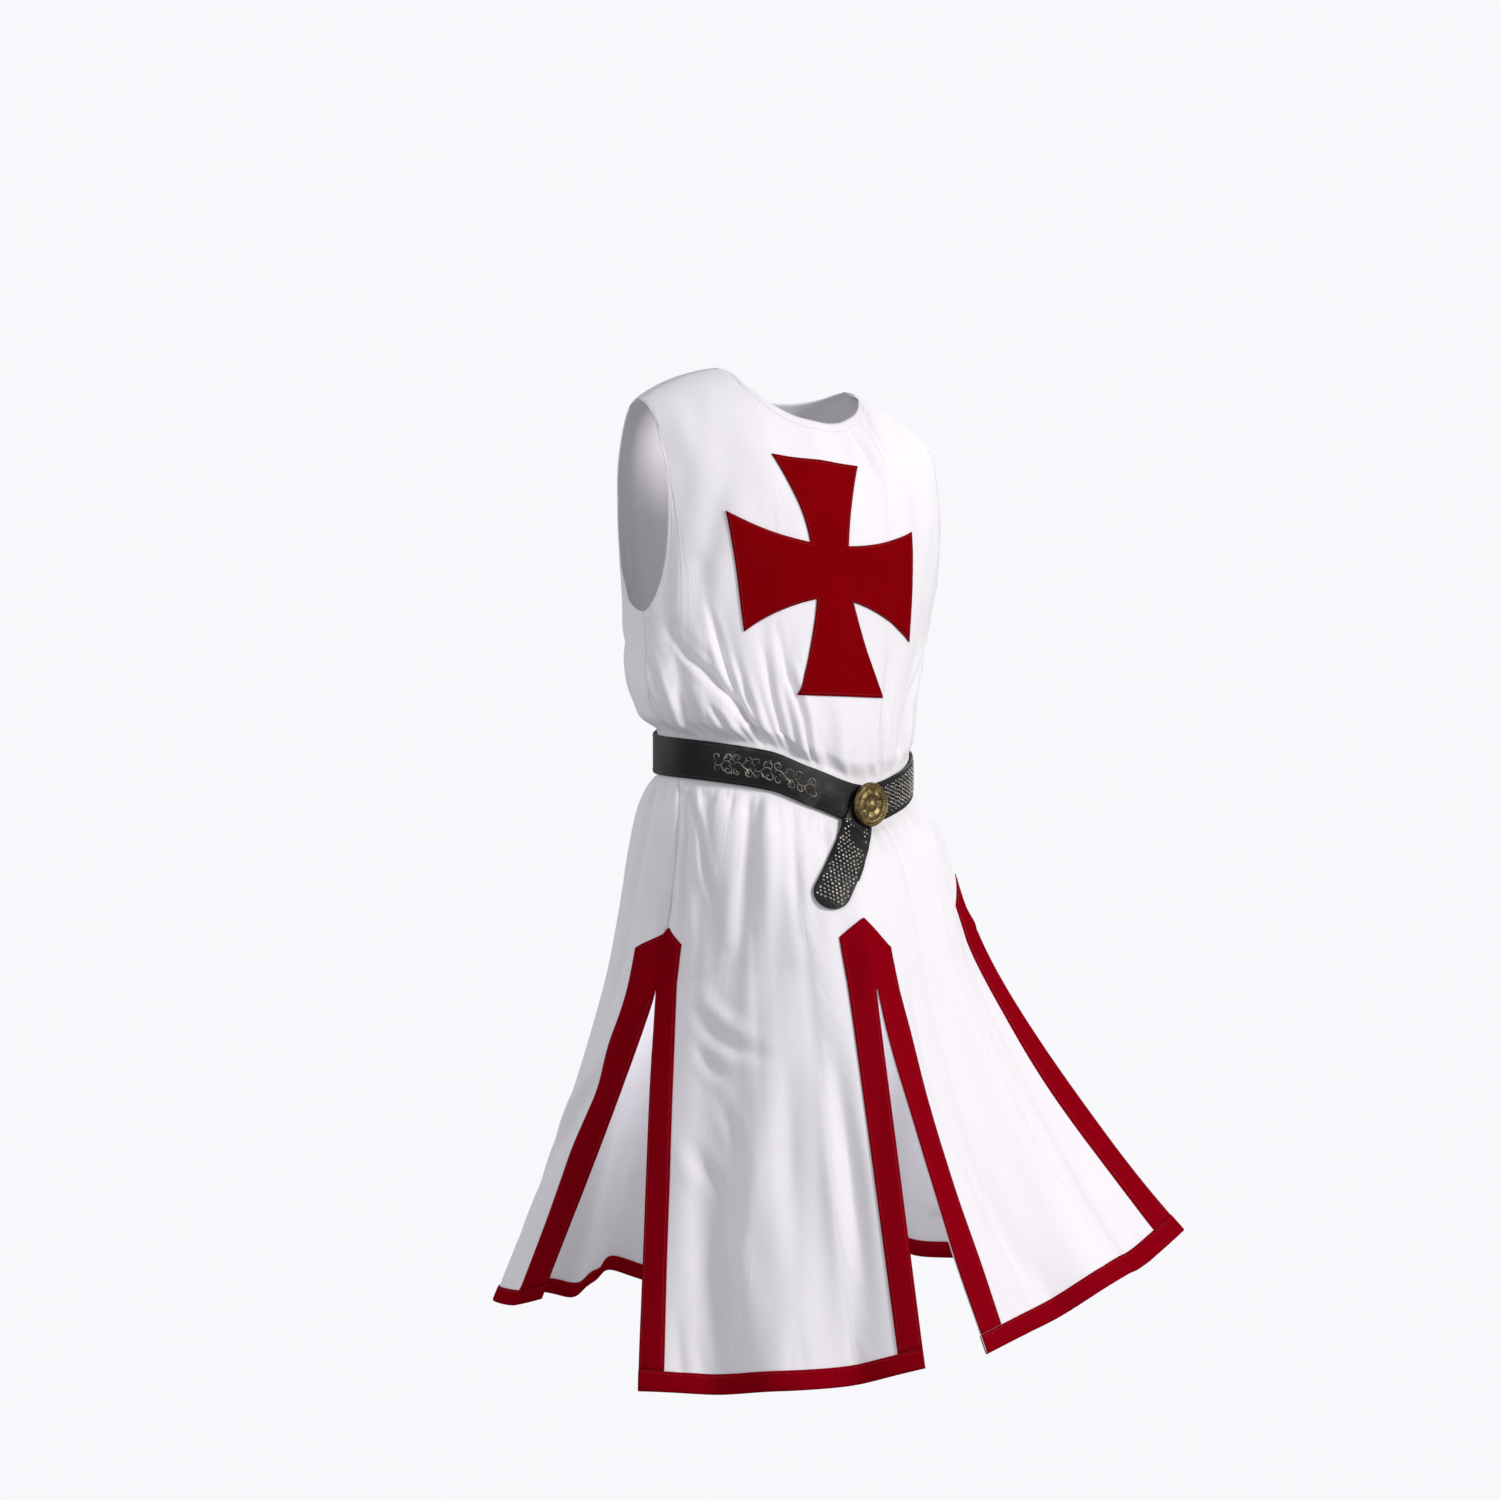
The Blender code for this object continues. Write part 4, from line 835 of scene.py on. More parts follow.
def metal(name, bright, dark, roughness):
    bench = finish_bench(name, {"Metallic": 1.0})
    place = bench.own_place()
    mottle = bench.noise(place, 180.0, 4.0, 0.6)
    broad = bench.noise(place, 45.0)
    tone = bench.node("ShaderNodeValToRGB", {"stops": [(0.35, (0, 0, 0, 1)), (0.62, (1, 1, 1, 1))]},
                      {0: mottle * 0.6 + broad * 0.4})
    bench.feed("Base Color", bench.mix(tone, dark, bright))
    bench.feed("Roughness", roughness + 0.25 * (1 - mottle))
    bench.feed("Normal", bench.bump(mottle, 0.0003, 0.4))
    return bench.made


def thread(name, colour):
    bench = finish_bench(name, {"Roughness": 0.7, "Sheen Weight": 0.2})
    fuzz = bench.noise(bench.own_place(), 900.0)
    bench.feed("Base Color", bench.mix(fuzz, (*[c * 0.7 for c in colour[:3]], 1), colour))
    return bench.made


STRAP_LEATHER = leather("Strap leather", 900.0, 0.0003)
TAIL_LEATHER = leather("Pebbled leather", 420.0, 0.0007)
BRASS = metal("Aged brass", (0.28, 0.215, 0.095, 1), (0.060, 0.042, 0.018, 1), 0.38)
DULL_SILVER = metal("Dull silver", (0.60, 0.57, 0.53, 1), (0.24, 0.225, 0.20, 1), 0.40)
INLAY = metal("Rubbed inlay", (0.36, 0.34, 0.30, 1), (0.05, 0.045, 0.04, 1), 0.42)
WHITE_THREAD = thread("White thread", (0.80, 0.78, 0.80, 1))
RED_THREAD = thread("Red thread", (0.33, 0.006, 0.014, 1))
BLACK_THREAD = thread("Black thread", (0.05, 0.048, 0.046, 1))
print("materials in all:", len(bpy.data.materials))

# %% [markdown]
# ## Making sheets of cloth
# A panel is an array of points, joined in quads, thickened with Solidify and shaded smooth. Its weave
# attribute is measured along the rows and columns of the array itself, so the ribs keep their size where
# the cloth flares.

# %% Sheet helpers
def travel_along(points, axis):
    """Distance travelled along one axis of an array of points."""
    steps = np.linalg.norm(np.diff(points, axis=axis), axis=-1)
    return np.concatenate([np.zeros_like(np.take(steps, [0], axis)), np.cumsum(steps, axis=axis)], axis=axis)


def weave_places(points):
    """Distance across and down the cloth at each point of an array, in metres."""
    across, down = travel_along(points, 1), travel_along(points, 0)
    return np.stack([across, down, np.zeros_like(across)], axis=-1)


def grid_faces(rows, columns, start=0, flip=False):
    faces = []
    for row in range(rows - 1):
        for column in range(columns - 1):
            a = start + row * columns + column
            ring = (a, a + columns, a + columns + 1, a + 1)
            faces.append(ring[::-1] if flip else ring)
    return faces


def new_piece(name, points, faces, recipe, weave=None):
    mesh = bpy.data.meshes.new(name)
    mesh.from_pydata([tuple(p) for p in points], [], faces)
    if weave is not None:
        layer = mesh.attributes.new("weave", "FLOAT_VECTOR", "POINT")
        layer.data.foreach_set("vector", np.ascontiguousarray(weave, dtype=np.float32).ravel())
    mesh.shade_smooth()
    mesh.materials.append(recipe)
    piece = bpy.data.objects.new(name, mesh)
    bpy.context.scene.collection.objects.link(piece)
    return piece


def merge_close(piece, distance=0.00005):
    work = bmesh.new()
    work.from_mesh(piece.data)
    bmesh.ops.remove_doubles(work, verts=work.verts, dist=distance)
    work.to_mesh(piece.data)
    work.free()


def thicken(piece, thickness, side=0.0):
    wall = piece.modifiers.new("Wall", "SOLIDIFY")
    wall.thickness = thickness
    wall.offset = side


def unit(directions):
    return directions / np.linalg.norm(directions, axis=-1)[..., None]


def dress(piece):
    """Every piece rides with the one body."""
    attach(piece, "root")
    return piece


def fine(parts, first, last):
    """Fractional places from first to last, with each whole step cut into so many parts."""
    stops = []
    for whole, count in zip(range(first, last), np.broadcast_to(parts, last)[first:]):
        stops += [whole + part / count for part in range(count)]
    return np.array(stops + [last], float)


ROW_PARTS = [3, 4, 6, 8, 8, 9, 10, 12, 13, 7, 5, 5, 3, 3, 5, 9, 7, 7, 6, 9] + [8] * SKIRT_ROWS + [4]
COLUMN_PARTS = 10
print("rows of the fine grid:", len(fine(ROW_PARTS, 0, HEM_ROW)))

# %% [markdown]
# ## The white front and back
# The two halves of a panel are made on the same grid and welded down the middle; the front's halves part
# below the facing's opening, which makes its slit. The neck and armhole edges are turned in, which shows as
# a slightly thicker border, so the surface is raised there by a hair. The side and shoulder edges are drawn
# back a tenth of a millimetre, as two pressed seams meet.

# %% Cloth panels
BORDER = 0.011
BORDER_RISE = 0.0006
BORDER_EDGE = 0.001


def panel_half(half):
    columns = fine(COLUMN_PARTS, 0, SIDE_COLUMN)
    rows = fine(ROW_PARTS, 0, HEM_ROW)
    row_grid, column_grid = np.meshgrid(rows, columns, indexing="ij")
    turn, drop = grid_place(half, column_grid, row_grid)
    top = top_height(turn)
    height = top + (waist_height(angle_of(turn)) - top) * np.clip(drop, 0, 1)
    seam_part = (column_grid > NECK_COLUMN - 0.01) & (column_grid < TIP_COLUMN + 0.01)
    from_edge = np.where(seam_part, 1.0, top - height)
    turned = BORDER_RISE * np.clip(1 - (from_edge - BORDER) / BORDER_EDGE, 0, 1)
    points = cloth_point(HALVES[half]["panel"], turn, drop, turned)[0]
    opening = rows <= OPEN_ROW
    points[opening, -1] += unit(points[:, -2] - points[:, -1])[opening] * SEAM_GAP
    shoulder = (columns >= NECK_COLUMN) & (columns <= TIP_COLUMN)
    points[0, shoulder] += unit(points[1] - points[0])[shoulder] * SEAM_GAP
    return points, rows


def make_panel(name, right_half, left_half):
    """Join two half panels: the first on the lower side of the turn, the second on the upper."""
    first, rows = panel_half(right_half)
    second, rows = panel_half(left_half)
    whole = rows <= OPEN_ROW
    first[whole, 0] = second[whole, 0] = (first[whole, 0] + second[whole, 0]) / 2
    shape = first.shape[:2]
    points = np.concatenate([first, second]).reshape(-1, 3)
    weave = np.concatenate([weave_places(first) * (-1, 1, 1), weave_places(second)]).reshape(-1, 3)
    faces = grid_faces(*shape, 0, flip=True) + grid_faces(*shape, shape[0] * shape[1])
    piece = new_piece(name, points, faces, WHITE, weave)
    merge_close(piece)
    thicken(piece, CLOTH)
    return dress(piece)


front = make_panel("front_cloth", "front_right", "front_left")
back = make_panel("back_cloth", "back_left", "back_right")
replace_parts(front, "front")
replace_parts(back, "back")
print("front and back faces:", len(front.data.polygons), len(back.data.polygons))

# %% [markdown]
# ## The slit facings
# Each facing is a red strip cut like a house: a pointed roof above the slit and two legs beside it. It is
# sewn along the slit, turned to the outside and topstitched, so it lies a layer above the cloth with
# pressed edges. The strip is made from the cloth's own grid, moved out. A roof needs rows that climb to a
# point, so each column starts on the roof line and keeps to the common rows below.

# %% Facings
LEG_PARTS = 10
LEG_ROWS = 11
ROOF_ROWS = 6
PRESS_RISE, PRESS_ROUND = 0.0004, 0.0022
GROOVE_PLACE, GROOVE_DEPTH, GROOVE_WIDTH = 0.0030, 0.00022, 0.0007
LEG_SHORT = 0.005


def pressed(across, split):
    """Rise of a strip between its pressed edges, across it from 0 to 1; split is 1 where the slit is open."""
    rise = PRESS_RISE
    for side, here in ((across, split), (1 - across, 1.0)):
        away = side * TRIM_WIDTH
        rise = rise - here * (PRESS_RISE * np.exp(-(away / PRESS_ROUND) ** 2)
                              + GROOVE_DEPTH * np.exp(-((away - GROOVE_PLACE) / GROOVE_WIDTH) ** 2))
    return rise


def facing_leg(half, at_side):
    """One half of a facing: its points from the slit outwards and from the roof down."""
    across = np.linspace(0, 1, LEG_PARTS + 1)
    columns = SIDE_COLUMN - across if at_side else across
    roof_falls = np.linspace(0, 1, ROOF_ROWS + 1)[:-1]
    falls = np.concatenate([roof_falls, fine(LEG_ROWS, 1, 2 + SKIRT_ROWS)])[:, None]
    roof = across + (1.0001 - across) * falls
    rows = POINT_ROW + np.where(falls < 1, roof, falls)
    rows[-1] -= LEG_SHORT
    split = np.clip((rows - OPEN_ROW + 0.5) * 2, 0, 1)
    return on_cloth(half, columns, rows, TRIM_LIFT + pressed(across, split))[0], rows


def make_facing(name, node, first_half, second_half, at_side):
    points, weave, faces = [], [], []
    for half, flip in ((first_half, not at_side), (second_half, at_side)):
        leg, rows = facing_leg(half, at_side)
        joined = rows[:, 0] <= OPEN_ROW + 0.001
        partner = facing_leg(second_half if half == first_half else first_half, at_side)[0]
        leg[joined, 0] = (leg[joined, 0] + partner[joined, 0]) / 2
        start = sum(len(block) for block in points)
        faces += grid_faces(*leg.shape[:2], start, flip)
        points.append(leg.reshape(-1, 3))
        weave.append((weave_places(leg) * (-1 if flip else 1, 1, 1)).reshape(-1, 3))
    piece = new_piece(name, np.concatenate(points), faces, RED, np.concatenate(weave))
    merge_close(piece)
    thicken(piece, TRIM, 1.0)
    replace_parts(dress(piece), node)
    return piece


facing_front = make_facing("facing_front", "slit_trim_front", "front_right", "front_left", False)
facing_right = make_facing("facing_right", "slit_trim_right", "back_right", "front_right", True)
facing_left = make_facing("facing_left", "slit_trim_left", "front_left", "back_left", True)
print("facings:", [piece.name for piece in (facing_front, facing_right, facing_left)])

# %% [markdown]
# ## The hem bindings
# The binding is a strip folded round the hem, so red shows inside as well, where an open slit lets the far
# panel's inner face be seen. It is a row of points down the outside, round the edge and up the inside.

# %% Bindings
BINDING_FALLS = np.array([0.0, 0.12, 0.25, 0.5, 0.75, 0.97])
BINDING_RISE, BINDING_ROUND = 0.0003, 0.1
SEAM_DEPTH, SEAM_PLACE, SEAM_WIDTH = 0.0002, 0.14, 0.04
FOLD_BELOW, FOLD_SHOULDER, SHOULDER_SHARE = 0.0006, 0.0004, 0.45
BINDING = TRIM * 0.7


def make_binding(name, node, halves):
    """Fold a strip round the hem of one panel, half by half from its first corner."""
    rise = (BINDING_RISE * (1 - np.exp(-(BINDING_FALLS / BINDING_ROUND) ** 2))
            - SEAM_DEPTH * np.exp(-((BINDING_FALLS - SEAM_PLACE) / SEAM_WIDTH) ** 2))
    rows = (BAND_ROW + BINDING_FALLS)[:, None]
    lift = (TRIM_LIFT + rise)[:, None]
    blocks = []
    for half in halves:
        columns = fine(COLUMN_PARTS, 0, SIDE_COLUMN)
        if HALVES[half]["side"] < 0:
            columns = columns[::-1]
        if blocks:
            columns = columns[1:]
        outer = on_cloth(half, columns, rows, lift)[0]
        inner = on_cloth(half, columns, rows[::-1], -lift[::-1])[0]
        down = unit(outer[-1] - outer[0])
        below = on_cloth(half, columns, float(HEM_ROW))[0] + down * FOLD_BELOW
        bends = [edge + (below - edge) * SHOULDER_SHARE + down * FOLD_SHOULDER
                 for edge in (outer[-1], inner[0])]
        blocks.append(np.concatenate([outer, bends[:1], [below], bends[1:], inner]))
    points = np.concatenate(blocks, axis=1)
    piece = new_piece(name, points.reshape(-1, 3), grid_faces(*points.shape[:2]), RED,
                      weave_places(points).reshape(-1, 3))
    thicken(piece, BINDING, 1.0)
    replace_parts(dress(piece), node)
    return piece


binding_right = make_binding("binding_front_right", "hem_trim_front_right", ["front_right"])
binding_left = make_binding("binding_front_left", "hem_trim_front_left", ["front_left"])
binding_back = make_binding("binding_back", "hem_trim_back", ["back_left", "back_right"])
print("bindings:", [piece.name for piece in (binding_right, binding_left, binding_back)])

# %% [markdown]
# ## The cross
# The cross is one red piece with widening arms, straight ends and faintly bowed sides, laid on the chest and
# sewn round its edge. It could be cut from a patch with a Boolean, as in the frame. Five small grids, one
# for the middle and one for each arm, give cleaner edges and let the cloth's folds carry through it.

# %% Cross
CROSS_TURN = -0.012
CROSS_HEIGHT = -0.217
CROSS_LEAN = 0.35
CROSS_ARMS = {"up": (0.124, 0.047), "down": (0.124, 0.058), "right": (0.113, 0.061), "left": (0.110, 0.061)}
CROSS_INNER = ((-0.025, 0.019), (-0.023, 0.036))
CROSS_BOW = 0.004
SHORT_PARTS, LONG_PARTS = 16, 30
CHEST_TURN_LENGTH = 0.255


def on_chest(across, up, lift):
    """Point of the chest's cloth, measured from the middle of the cross."""
    turn = CROSS_TURN + across / CHEST_TURN_LENGTH - up * CROSS_LEAN
    top = top_height(turn)
    waist = waist_height(angle_of(turn))
    drop = (CROSS_HEIGHT + up - top) / (waist - top)
    right = cloth_point("front_right", np.minimum(turn, 0), drop, lift)[0]
    left = cloth_point("front_left", np.maximum(turn, 0), drop, lift)[0]
    return np.where((turn < 0)[..., None], right, left)


def cross_flat(name, u, v, inset=0.0):
    """Flat places in one of the five parts, u to the wearer's left and v upwards, the arms' sides bowed."""
    x_right, x_left = CROSS_INNER[0][0] + inset, CROSS_INNER[0][1] - inset
    z_low, z_high = CROSS_INNER[1][0] + inset, CROSS_INNER[1][1] - inset
    reach, half = [size - inset for size in CROSS_ARMS.get(name, (0, 0))]
    corners = {
        "middle": ((x_right, z_low), (x_left, z_low), (x_right, z_high), (x_left, z_high)),
        "up": ((x_right, z_high), (x_left, z_high), (-half, reach), (half, reach)),
        "down": ((-half, -reach), (half, -reach), (x_right, z_low), (x_left, z_low)),
        "right": ((-reach, -half), (x_right, z_low), (-reach, half), (x_right, z_high)),
        "left": ((x_left, z_low), (reach, -half), (x_left, z_high), (reach, half)),
    }[name]
    weights = ((1 - u) * (1 - v), u * (1 - v), (1 - u) * v, u * v)
    flat = sum(np.array(corner) * weight[..., None] for corner, weight in zip(corners, weights))
    if name in ("up", "down"):
        flat[..., 0] += 4 * CROSS_BOW * v * (1 - v) * (1 - 2 * u)
    elif name in ("right", "left"):
        flat[..., 1] += 4 * CROSS_BOW * u * (1 - u) * (1 - 2 * v)
    return flat


def make_cross():
    points, weave, faces = [], [], []
    for name in ("middle", "up", "down", "right", "left"):
        wide = SHORT_PARTS if name in ("middle", "up", "down") else LONG_PARTS
        tall = SHORT_PARTS if name in ("middle", "right", "left") else LONG_PARTS
        u, v = np.meshgrid(np.linspace(0, 1, wide + 1), np.linspace(1, 0, tall + 1))
        flat = cross_flat(name, u, v)
        start = sum(len(block) for block in points)
        faces += grid_faces(tall + 1, wide + 1, start)
        points.append(on_chest(flat[..., 0], flat[..., 1], TRIM_LIFT).reshape(-1, 3))
        weave.append(np.concatenate([flat, np.zeros_like(flat[..., :1])], axis=-1).reshape(-1, 3))
    # The cross takes the darker red twill, whose extra darkness is painted shade.
    piece = new_piece("cross_cloth", np.concatenate(points), faces, SHADED_CROSS_RED, np.concatenate(weave))
    merge_close(piece, 0.0001)
    thicken(piece, TRIM, 1.0)
    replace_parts(dress(piece), "cross")
    return piece


cross = make_cross()
print("cross faces:", len(cross.data.polygons))

# %% [markdown]
# ## The belt's strap
# The strap is a rounded rectangle swept round the waist on the belt's own dipping line, open behind the
# buckle. A swept section keeps its edges crisp and its thickness true, where a bevelled curve would twist.

# %% Strap
STRAP_INSIDE = 0.0019
STRAP_FACE = STRAP_INSIDE + BELT_THICKNESS
STRAP_OUTSIDE = STRAP_FACE + 0.0008
STRAP_PARTS = 260
STRAP_GAP = math.radians(2)
EDGE_RADIUS = 0.0009
SHARP = math.radians(50)


def belt_point(angle, height, lift):
    """Point outside the waist at an angle, a height from the belt's middle and a distance from the cloth."""
    half_width = SECTIONS["half_width"][-1] + lift
    half_depth = SECTIONS["half_depth"][-1] + lift
    return np.stack([SECTIONS["centre_x"][-1] + half_width * np.sin(angle), -half_depth * np.cos(angle),
                     waist_height(angle) + height], axis=-1)


def rounded_section(half_height, inside, outside):
    """Closed outline of a strap's section, as heights and lifts, four points to each corner."""
    high, low_lift, high_lift = half_height - EDGE_RADIUS, inside + EDGE_RADIUS, outside - EDGE_RADIUS
    outline = []
    for height, lift, start in ((high, high_lift, 90), (high, low_lift, 360), (-high, low_lift, 270),
                                (-high, high_lift, 180)):
        for turn in np.radians([start, start - 30, start - 60, start - 90]):
            outline.append((height + EDGE_RADIUS * math.cos(turn), lift + EDGE_RADIUS * math.sin(turn)))
    return outline


def ring_faces(rings, around, start=0, flip=False):
    """Faces between closed rings of points that follow one another."""
    faces = []
    for low in range(start, start + (rings - 1) * around, around):
        for place in range(around):
            here, after = low + place, low + (place + 1) % around
            others = (after, after + around, here + around)
            faces.append((here, *(others[::-1] if flip else others)))
    return faces


def sweep(name, rings, recipe):
    """Join rings of points into a closed skin with both ends capped."""
    count, around = rings.shape[:2]
    faces = ring_faces(count, around)
    faces.append(tuple(range(around))[::-1])
    faces.append(tuple((count - 1) * around + place for place in range(around)))
    piece = new_piece(name, rings.reshape(-1, 3), faces, recipe)
    work = bmesh.new()
    work.from_mesh(piece.data)
    bmesh.ops.recalc_face_normals(work, faces=work.faces)
    work.to_mesh(piece.data)
    work.free()
    piece.data.set_sharp_from_angle(angle=SHARP)
    return piece


def round_the_waist(gap, count):
    """Angles from one side of the buckle round to the other, with a gap beside it."""
    return np.linspace(BUCKLE_ANGLE + gap, BUCKLE_ANGLE + 2 * math.pi - gap, count)


def make_strap():
    angles = round_the_waist(STRAP_GAP, STRAP_PARTS)
    rings = np.stack([belt_point(angles, height, lift) for height, lift in
                      rounded_section(BELT_HALF, STRAP_INSIDE, STRAP_FACE)], axis=1)
    return sweep("belt_strap_leather", rings, STRAP_LEATHER)


strap = dress(make_strap())
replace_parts(strap, "belt_strap")
print("strap faces:", len(strap.data.polygons))

# %% [markdown]
# ## The belt's tail
# The loose end passes over the strap under the buckle and hangs across the skirt to a round tip. Its middle
# line leans to the wearer's right. The tail rests on the strap first and then on the cloth, so its distance
# from the cloth eases from one to the other.

# %% Tail
TAIL_LENGTH = 0.122
TAIL_WIDTH = 0.035
TAIL_START = -0.012
TAIL_LEAN = math.radians(29)
TAIL_THICKNESS = 0.003
TAIL_REST = 0.0021
TAIL_EASE = 0.014
TAIL_RINGS, TIP_RINGS = 47, 14
TIP_LIMIT = 0.9995
FRONT_TURN_LENGTH = 0.200


def on_front(turn, height):
    """Cloth below the waist at a turn and a height, and the direction out from it."""
    waist = waist_height(angle_of(turn))
    sides = []
    for panel, inside in (("front_right", np.minimum(turn, 0)), ("front_left", np.maximum(turn, 0))):
        hem = HEMS[panel]
        bottom = smooth_table(hem["share"], hem["z"], np.abs(turn - hem["turn"][0]))
        share = np.clip((waist - height) / (waist - bottom), 0, 1)
        sides.append(cloth_point(panel, inside, 1 + share))
    return [np.where((turn <= 0)[..., None], right, left) for right, left in zip(*sides)]


def on_tail(along, side, lift=0.0):
    """Point of the tail's under face at a distance along it and to its side, moved out by a lift."""
    middle_turn = math.degrees(BUCKLE_ANGLE) / math.degrees(SEAM_ANGLE)
    middle_height = float(waist_height(BUCKLE_ANGLE))
    turn = middle_turn + (side * math.cos(TAIL_LEAN) - along * math.sin(TAIL_LEAN)) / FRONT_TURN_LENGTH
    height = middle_height - along * math.cos(TAIL_LEAN) - side * math.sin(TAIL_LEAN)
    at, out = on_front(turn, height)
    angle = angle_of(turn)
    waist = waist_height(angle)
    at[..., 2] = np.where(height > waist, height, at[..., 2])
    level_out = np.stack([np.sin(angle), -np.cos(angle), np.zeros_like(angle)], axis=-1)
    below = (height < waist - BELT_HALF)[..., None]
    out = unit(np.where(below, out + level_out, level_out))
    clear = np.clip((waist - height - BELT_COVER) / TAIL_EASE, 0, 1)
    rest = STRAP_OUTSIDE * (1 - clear) + TAIL_REST * clear
    return at + out * (rest + lift)[..., None], out


def tail_half_width(along):
    half = TAIL_WIDTH / 2
    beyond = np.clip(along - (TAIL_LENGTH - half), 0, half * TIP_LIMIT) / half
    return half * np.sqrt(1 - beyond**2)


def make_tail():
    tip = TAIL_LENGTH - TAIL_WIDTH / 2
    bend = np.sin(np.linspace(0, math.pi / 2, TIP_RINGS)) * TAIL_WIDTH / 2 + tip
    along = np.concatenate([np.linspace(TAIL_START, tip, TAIL_RINGS + 1)[:-1], bend])[:, None]
    heights, lifts = np.array(rounded_section(1.0, 0.0, TAIL_THICKNESS)).T
    side = np.sign(heights) * (tail_half_width(along) - (1 - np.abs(heights)))
    return sweep("belt_tail_leather", on_tail(along, side, lifts)[0], TAIL_LEATHER)


tail = dress(make_tail())
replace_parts(tail, "belt_tail")
print("tail faces:", len(tail.data.polygons))

# %% [markdown]
# ## The buckle
# A round brass plate hides where the strap's ends meet. It has a rolled rim, a ring of beads, a band of
# petals and a domed middle. All of it is one disc of rings and spokes whose height is a formula of radius
# and angle, with each ring's place, width, rise and lobes in a table: relief that is pressed from one sheet
# has no undercuts, so a height field suits it.

# %% Buckle
BUCKLE_RADIUS = 0.024
BUCKLE_RISE = 0.008
BUCKLE_SEAT = 0.0032
BUCKLE_RINGS, BUCKLE_SPOKES = 44, 144
BUCKLE_BACK = 0.0002
DOME_EDGE, DOME_RISE = 0.34, 0.92
PLATE_FLOOR = 0.30
PLATE_EDGE, PLATE_DROP = 0.985, 0.4
RELIEF = {
    "petals": {"place": 0.53, "width": 0.150, "rise": 0.275, "lobes": 8, "cut": 0.55, "power": 0.6},
    "beads": {"place": 0.78, "width": 0.050, "rise": 0.250, "lobes": 36, "cut": 0.65, "power": 1.0},
    "rim": {"place": 0.93, "width": 0.055, "rise": 0.580, "lobes": 0, "cut": 0.0, "power": 1.0},
}


def relief_ring(share, angle, place, width, rise, lobes, cut, power):
    """A raised ring at a share of the radius, cut between its lobes."""
    lobe = 1 - cut + cut * np.abs(np.cos(lobes / 2 * angle)) ** power
    return rise * np.exp(-((share - place) / width) ** 2) * lobe


def buckle_height(share, angle):
    """Height of the plate's face at a share of its radius and an angle round it."""
    dome = DOME_RISE * np.sqrt(np.clip(1 - (share / DOME_EDGE) ** 2, 0, 1))
    petals, beads, rim = [relief_ring(share, angle, **ring) for ring in RELIEF.values()]
    highest = np.maximum.reduce([dome, PLATE_FLOOR + petals, PLATE_FLOOR + beads, rim])
    return highest * (1 - PLATE_DROP * (share > PLATE_EDGE)) * BUCKLE_RISE


def make_buckle():
    angles = np.linspace(0, 2 * math.pi, BUCKLE_SPOKES + 1)[:-1]
    share, angle = np.meshgrid(np.linspace(0.02, 1.0, BUCKLE_RINGS), angles, indexing="ij")
    across, up = BUCKLE_RADIUS * np.cos(angle), BUCKLE_RADIUS * np.sin(angle)
    face = np.stack([share * across, share * up, buckle_height(share, angle)], -1)
    under = np.stack([across[0], up[0], np.full(BUCKLE_SPOKES, BUCKLE_BACK)], -1)
    local = [(0, 0, float(buckle_height(0.0, 0.0))), *face.reshape(-1, 3), *under, (0, 0, BUCKLE_BACK)]
    edge, last = 1 + BUCKLE_RINGS * BUCKLE_SPOKES, len(local) - 1
    spokes = [(place, (place + 1) % BUCKLE_SPOKES) for place in range(BUCKLE_SPOKES)]
    faces = [(0, 1 + here, 1 + after) for here, after in spokes]
    faces += ring_faces(BUCKLE_RINGS + 1, BUCKLE_SPOKES, 1, flip=True)
    faces += [(edge + here, last, edge + after) for here, after in spokes]
    out = Vector((math.sin(BUCKLE_ANGLE) / SECTIONS["half_width"][-1],
                  -math.cos(BUCKLE_ANGLE) / SECTIONS["half_depth"][-1], 0)).normalized()
    turn = out.to_track_quat("Z", "Y").to_matrix()
    at = Vector(belt_point(np.array([BUCKLE_ANGLE]), 0.0, STRAP_OUTSIDE + TAIL_THICKNESS + BUCKLE_SEAT)[0])
    return new_piece("buckle_plate", [turn @ Vector(p) + at for p in local], faces, BRASS)


buckle = dress(make_buckle())
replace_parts(buckle, "belt_buckle")
print("buckle faces:", len(buckle.data.polygons))

# %% [markdown]
# ## Studs and scrolls
# The tail and the strap beside the buckle are set with rows of tiny domed studs, and a run of scrollwork is
# inlaid on the other side. The scrolls are a generic leafwork: paired curls on a stem with a few leaves.
# They are curves on the strap's face, each made round by its bevel, with a radius that swells along the
# stroke as an engraver's cut does.

# %% Studs
STUD = 0.00140
STUD_PITCH = 0.0042
STUD_ROW = STUD_PITCH * 0.87
STUD_LANES = range(-6, 7)
STUD_JITTER = 0.0005
STUD_SIZES = (0.8, 1.15)
STUD_RINGS = ((1.0, -0.1), (0.92, 0.30), (0.55, 0.62))
STUD_TOP = 0.72
STUD_SIDES = 8
TAIL_STUDS = (0.024, TAIL_LENGTH - 0.003)
STRAP_STUDS = (0.028, 0.150)
TAIL_MARGIN, STRAP_MARGIN = 0.0030, 0.0048
STRAP_REACH = 0.128


